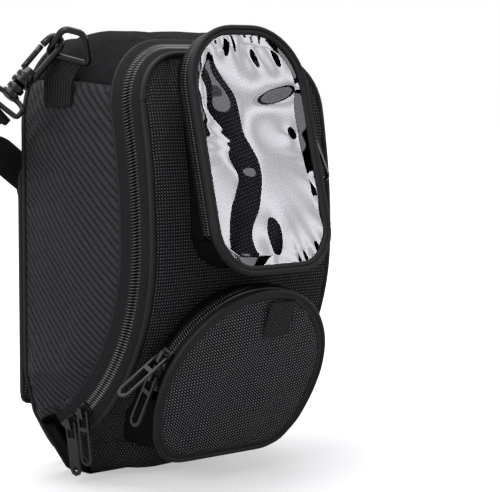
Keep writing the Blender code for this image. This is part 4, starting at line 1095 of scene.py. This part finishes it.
for side, mid, across, up, eye, hook, run, eye_run in (
        ("left", RING_MID, RING_ACROSS, RING_UP, left_eye, left_hook, left_run, None),
        ("right", FLIP * RING_MID, right_across, right_up, right_eye, right_hook, right_across, X)):
    aside = np.cross(across_from(hook, run), hook)
    wide_run = aside if eye_run is None else across_from(hook, eye_run)
    hook_axes = (eye, hook, aside, np.cross(hook, aside))
    eye_axes = (eye, hook, wide_run, np.cross(hook, wide_run))
    ring_axes = (mid, across, up, np.cross(across, up))
    ring, gate, swivel = (f"{side}_{piece}" for piece in ("ring", "gate", "swivel"))
    flat_bar(ring + "_bar", RING_PATH, 2.3, 2.0, ring_axes, ring, side + "_d_ring", True)
    flat_bar(side + "_hook_bar", HOOK_PATH, 2.4, 2.5, hook_axes, ring, side + "_hook_body")
    lathe(side + "_hook_collar", COLLAR, hook_axes, ring)
    flat_bar(gate + "_bar", GATE_PATH, 2.0, 2.0, hook_axes, gate, side + "_hook_gate")
    loop = flat_bar(swivel + "_loop", LOOP_PATH, 1.7, 2.5, eye_axes, swivel, side + "_hook_swivel", True)
    lathe(swivel + "_stem", STEM, eye_axes, swivel)

# Shoulder strap
STRAP_LEAD = 9.0
STRAP_UV_LEN = 750
STRAP_ROUTE = [(-150.0, -17.0, 245.0), (-139.0, 5.0, 237.0), (-122.0, 24.0, 231.0), (-102.0, 35.0, 227.0),
               (-74.0, 39.0, 208.0), (-60.0, 39.0, 150.0), (-60.0, 39.0, 80.0), (-58.0, 39.0, 38.0),
               (-47.0, 39.0, 20.0), (-25.0, 39.0, 15.0), (0.0, 39.0, 15.0), (25.0, 39.0, 15.0),
               (47.0, 39.0, 20.0), (58.0, 39.0, 38.0), (60.0, 39.0, 80.0), (60.0, 39.0, 130.0),
               (72.0, 39.0, 160.0), (98.0, 36.0, 178.0), (116.0, 22.0, 187.0), (126.0, -2.0, 195.0),
               (128.0, -26.0, 202.0)]
route = [left_eye - left_hook * GAP, left_eye - left_hook * STRAP_LEAD, *STRAP_ROUTE,
         right_eye - right_hook * STRAP_LEAD, right_eye - right_hook * GAP]
strap_line = dense(route, 4.0, False)
run = directions(strap_line)
face = Y - run * run[:, 1:2]
weak = np.linalg.norm(face, axis=1) < 0.3
face[weak] = (Z - run * run[:, 2:3])[weak]
across = np.linspace(-STRAP_W / 2, STRAP_W / 2, 9)
strap_grid = strap_line[:, None] + np.cross(run, units(face))[:, None] * across[:, None]
strap_uv = paired(across, np.linspace(0, STRAP_UV_LEN, len(strap_line))[:, None])
strap = strip("strap_webbing", strap_grid, "bag_body", WEBBING, ("shoulder_strap",),
              uv=strap_uv)
thicken(strap, STRAP_T, 0.0)

# Hardware keeps its solids, with eased edges
EASE_WIDTH = 0.0007
EASE_ANGLE = math.radians(35)


def painted(thing, material):
    thing.data.materials.clear()
    thing.data.materials.append(material)


for node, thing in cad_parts.items():
    if "pull" in node or node == "strap_slider" or "_slider_" in node:
        painted(thing, METAL if "_slider_" in node else PULL if "pull" in node else PLASTIC)
        ease = thing.modifiers.new("ease", "BEVEL")
        ease.width = EASE_WIDTH
        ease.segments = 2
        ease.limit_method = "ANGLE"
        ease.angle_limit = EASE_ANGLE
    elif node == "base_board":
        painted(thing, BOARD)
    elif node.endswith("magnet"):
        painted(thing, NICKEL)

# The floor keeps the shadow near the object and fades to the white backdrop around it
FLOOR_HALF = 6
FLOOR_Z = -0.0006
FADE_NEAR = 0.12
FADE_FAR = 0.5
GLOW_NEAR = 0.45
GLOW_FAR = 1.05
floor_mesh = bpy.data.meshes.new("floor")
floor_mesh.from_pydata([(x * FLOOR_HALF, y * FLOOR_HALF, FLOOR_Z) for x, y in SQUARE], [], [(0, 1, 2, 3)])
floor = bpy.data.objects.new("floor", floor_mesh)
scene.collection.objects.link(floor)
FLOOR = plain("floor_white", (0.62, 0.62, 0.63), 0.6, 0.0, 0.1)
floor_tree = FLOOR.node_tree
floor_shader = floor_tree.nodes["Principled BSDF"]
floor_shader.inputs["Emission Color"].default_value = (1, 1, 1, 1)
floor_path = add_node(floor_tree, "LightPath")
floor_place = add_node(floor_tree, "TexCoord")
floor_far = add_node(floor_tree, "VectorMath")
floor_far.operation = "LENGTH"
floor_tree.links.new(floor_place.outputs["Object"], floor_far.inputs[0])
floor_fade = add_node(floor_tree, "MapRange")
floor_fade.interpolation_type = "SMOOTHSTEP"
for socket, value in zip(floor_fade.inputs[1:5], (FADE_NEAR, FADE_FAR, GLOW_NEAR, GLOW_FAR)):
    socket.default_value = value
floor_tree.links.new(floor_far.outputs["Value"], floor_fade.inputs[0])
floor_glow = maths(floor_tree, "MULTIPLY", floor_path.outputs["Is Camera Ray"], floor_fade.outputs[0])
floor_tree.links.new(floor_glow, floor_shader.inputs["Emission Strength"])
floor_mesh.materials.append(FLOOR)

# World: white where it is seen or mirrored, dim where it lights
world = bpy.data.worlds.new("world")
scene.world = world
world.use_nodes = True
sky = world.node_tree
sky.nodes.clear()
sky_out = add_node(sky, "OutputWorld")
sky_mix = add_node(sky, "MixShader")
sky_path = add_node(sky, "LightPath")
sky_seen = add_node(sky, "Background", Color=(1, 1, 1, 1), Strength=1.0)
sky_light = add_node(sky, "Background", Color=(0.9, 0.92, 1.0, 1), Strength=0.25)
sky_rays = [sky_path.outputs[f"Is {kind} Ray"] for kind in ("Camera", "Transmission", "Glossy")]
sky_plain = maths(sky, "MAXIMUM", maths(sky, "MAXIMUM", sky_rays[0], sky_rays[1]), sky_rays[2])
link_all(sky, sky_mix, sky_plain, sky_light.outputs[0], sky_seen.outputs[0])
sky.links.new(sky_mix.outputs[0], sky_out.inputs["Surface"])

# Lights
LIGHT_AIM = (0.0, -0.05, 0.15)
STRIPE_RATE = 5.5
STRIPE_SWING = 0.3
STRIPE_MEAN = 0.9


def softbox(name, spot, size, power):
    light = bpy.data.lights.new(name, "AREA")
    light.shape = "RECTANGLE"
    light.size, light.size_y = size
    light.energy = power
    thing = bpy.data.objects.new(name, light)
    thing.location = spot
    thing.rotation_euler = (Vector(spot) - Vector(LIGHT_AIM)).to_track_quat("Z", "Y").to_euler()
    scene.collection.objects.link(thing)
    return thing


def uneven(light):
    """A softbox that glows brighter along slanted stripes."""
    light.use_nodes = True
    tree = light.node_tree
    split = add_node(tree, "SeparateXYZ")
    tree.links.new(add_node(tree, "NewGeometry").outputs["Parametric"], split.inputs[0])
    slant = maths(tree, "MULTIPLY_ADD", split.outputs[1], 2.0, split.outputs[0])
    glow = maths(tree, "MULTIPLY_ADD", sine(tree, slant, STRIPE_RATE), STRIPE_SWING, STRIPE_MEAN)
    tree.links.new(glow, tree.nodes["Emission"].inputs["Strength"])


front_box = softbox("front_box", (1.05, -1.25, 0.62), (0.75, 1.1), 7.8)
uneven(front_box.data)

# Black flags round the front softbox, seen only in gloss
FLAG_IN = (0.375, 0.55)
FLAG_OUT = (0.85, 1.05)
FLAG_LEAD = 0.02
flag_mesh = bpy.data.meshes.new("front_flags")
corners = [(x * half[0], y * half[1], FLAG_LEAD) for half in (FLAG_IN, FLAG_OUT) for x, y in SQUARE]
flag_mesh.from_pydata(corners, [], [(i, (i + 1) % 4, 4 + (i + 1) % 4, 4 + i) for i in range(4)])
flag_mesh.materials.append(plain("flag_black", (0.0, 0.0, 0.0), 1.0, 0.0, 0.0))
flags = bpy.data.objects.new("front_flags", flag_mesh)
flags.location = front_box.location
flags.rotation_euler = front_box.rotation_euler
flags.visible_camera = False
flags.visible_diffuse = False
flags.visible_shadow = False
scene.collection.objects.link(flags)
softbox("left_box", (-1.5, -0.35, 0.75), (0.9, 0.9), 16.0)
softbox("top_box", (-0.1, 0.1, 1.7), (1.4, 1.4), 26.0)

scene.view_settings.view_transform = "Standard"
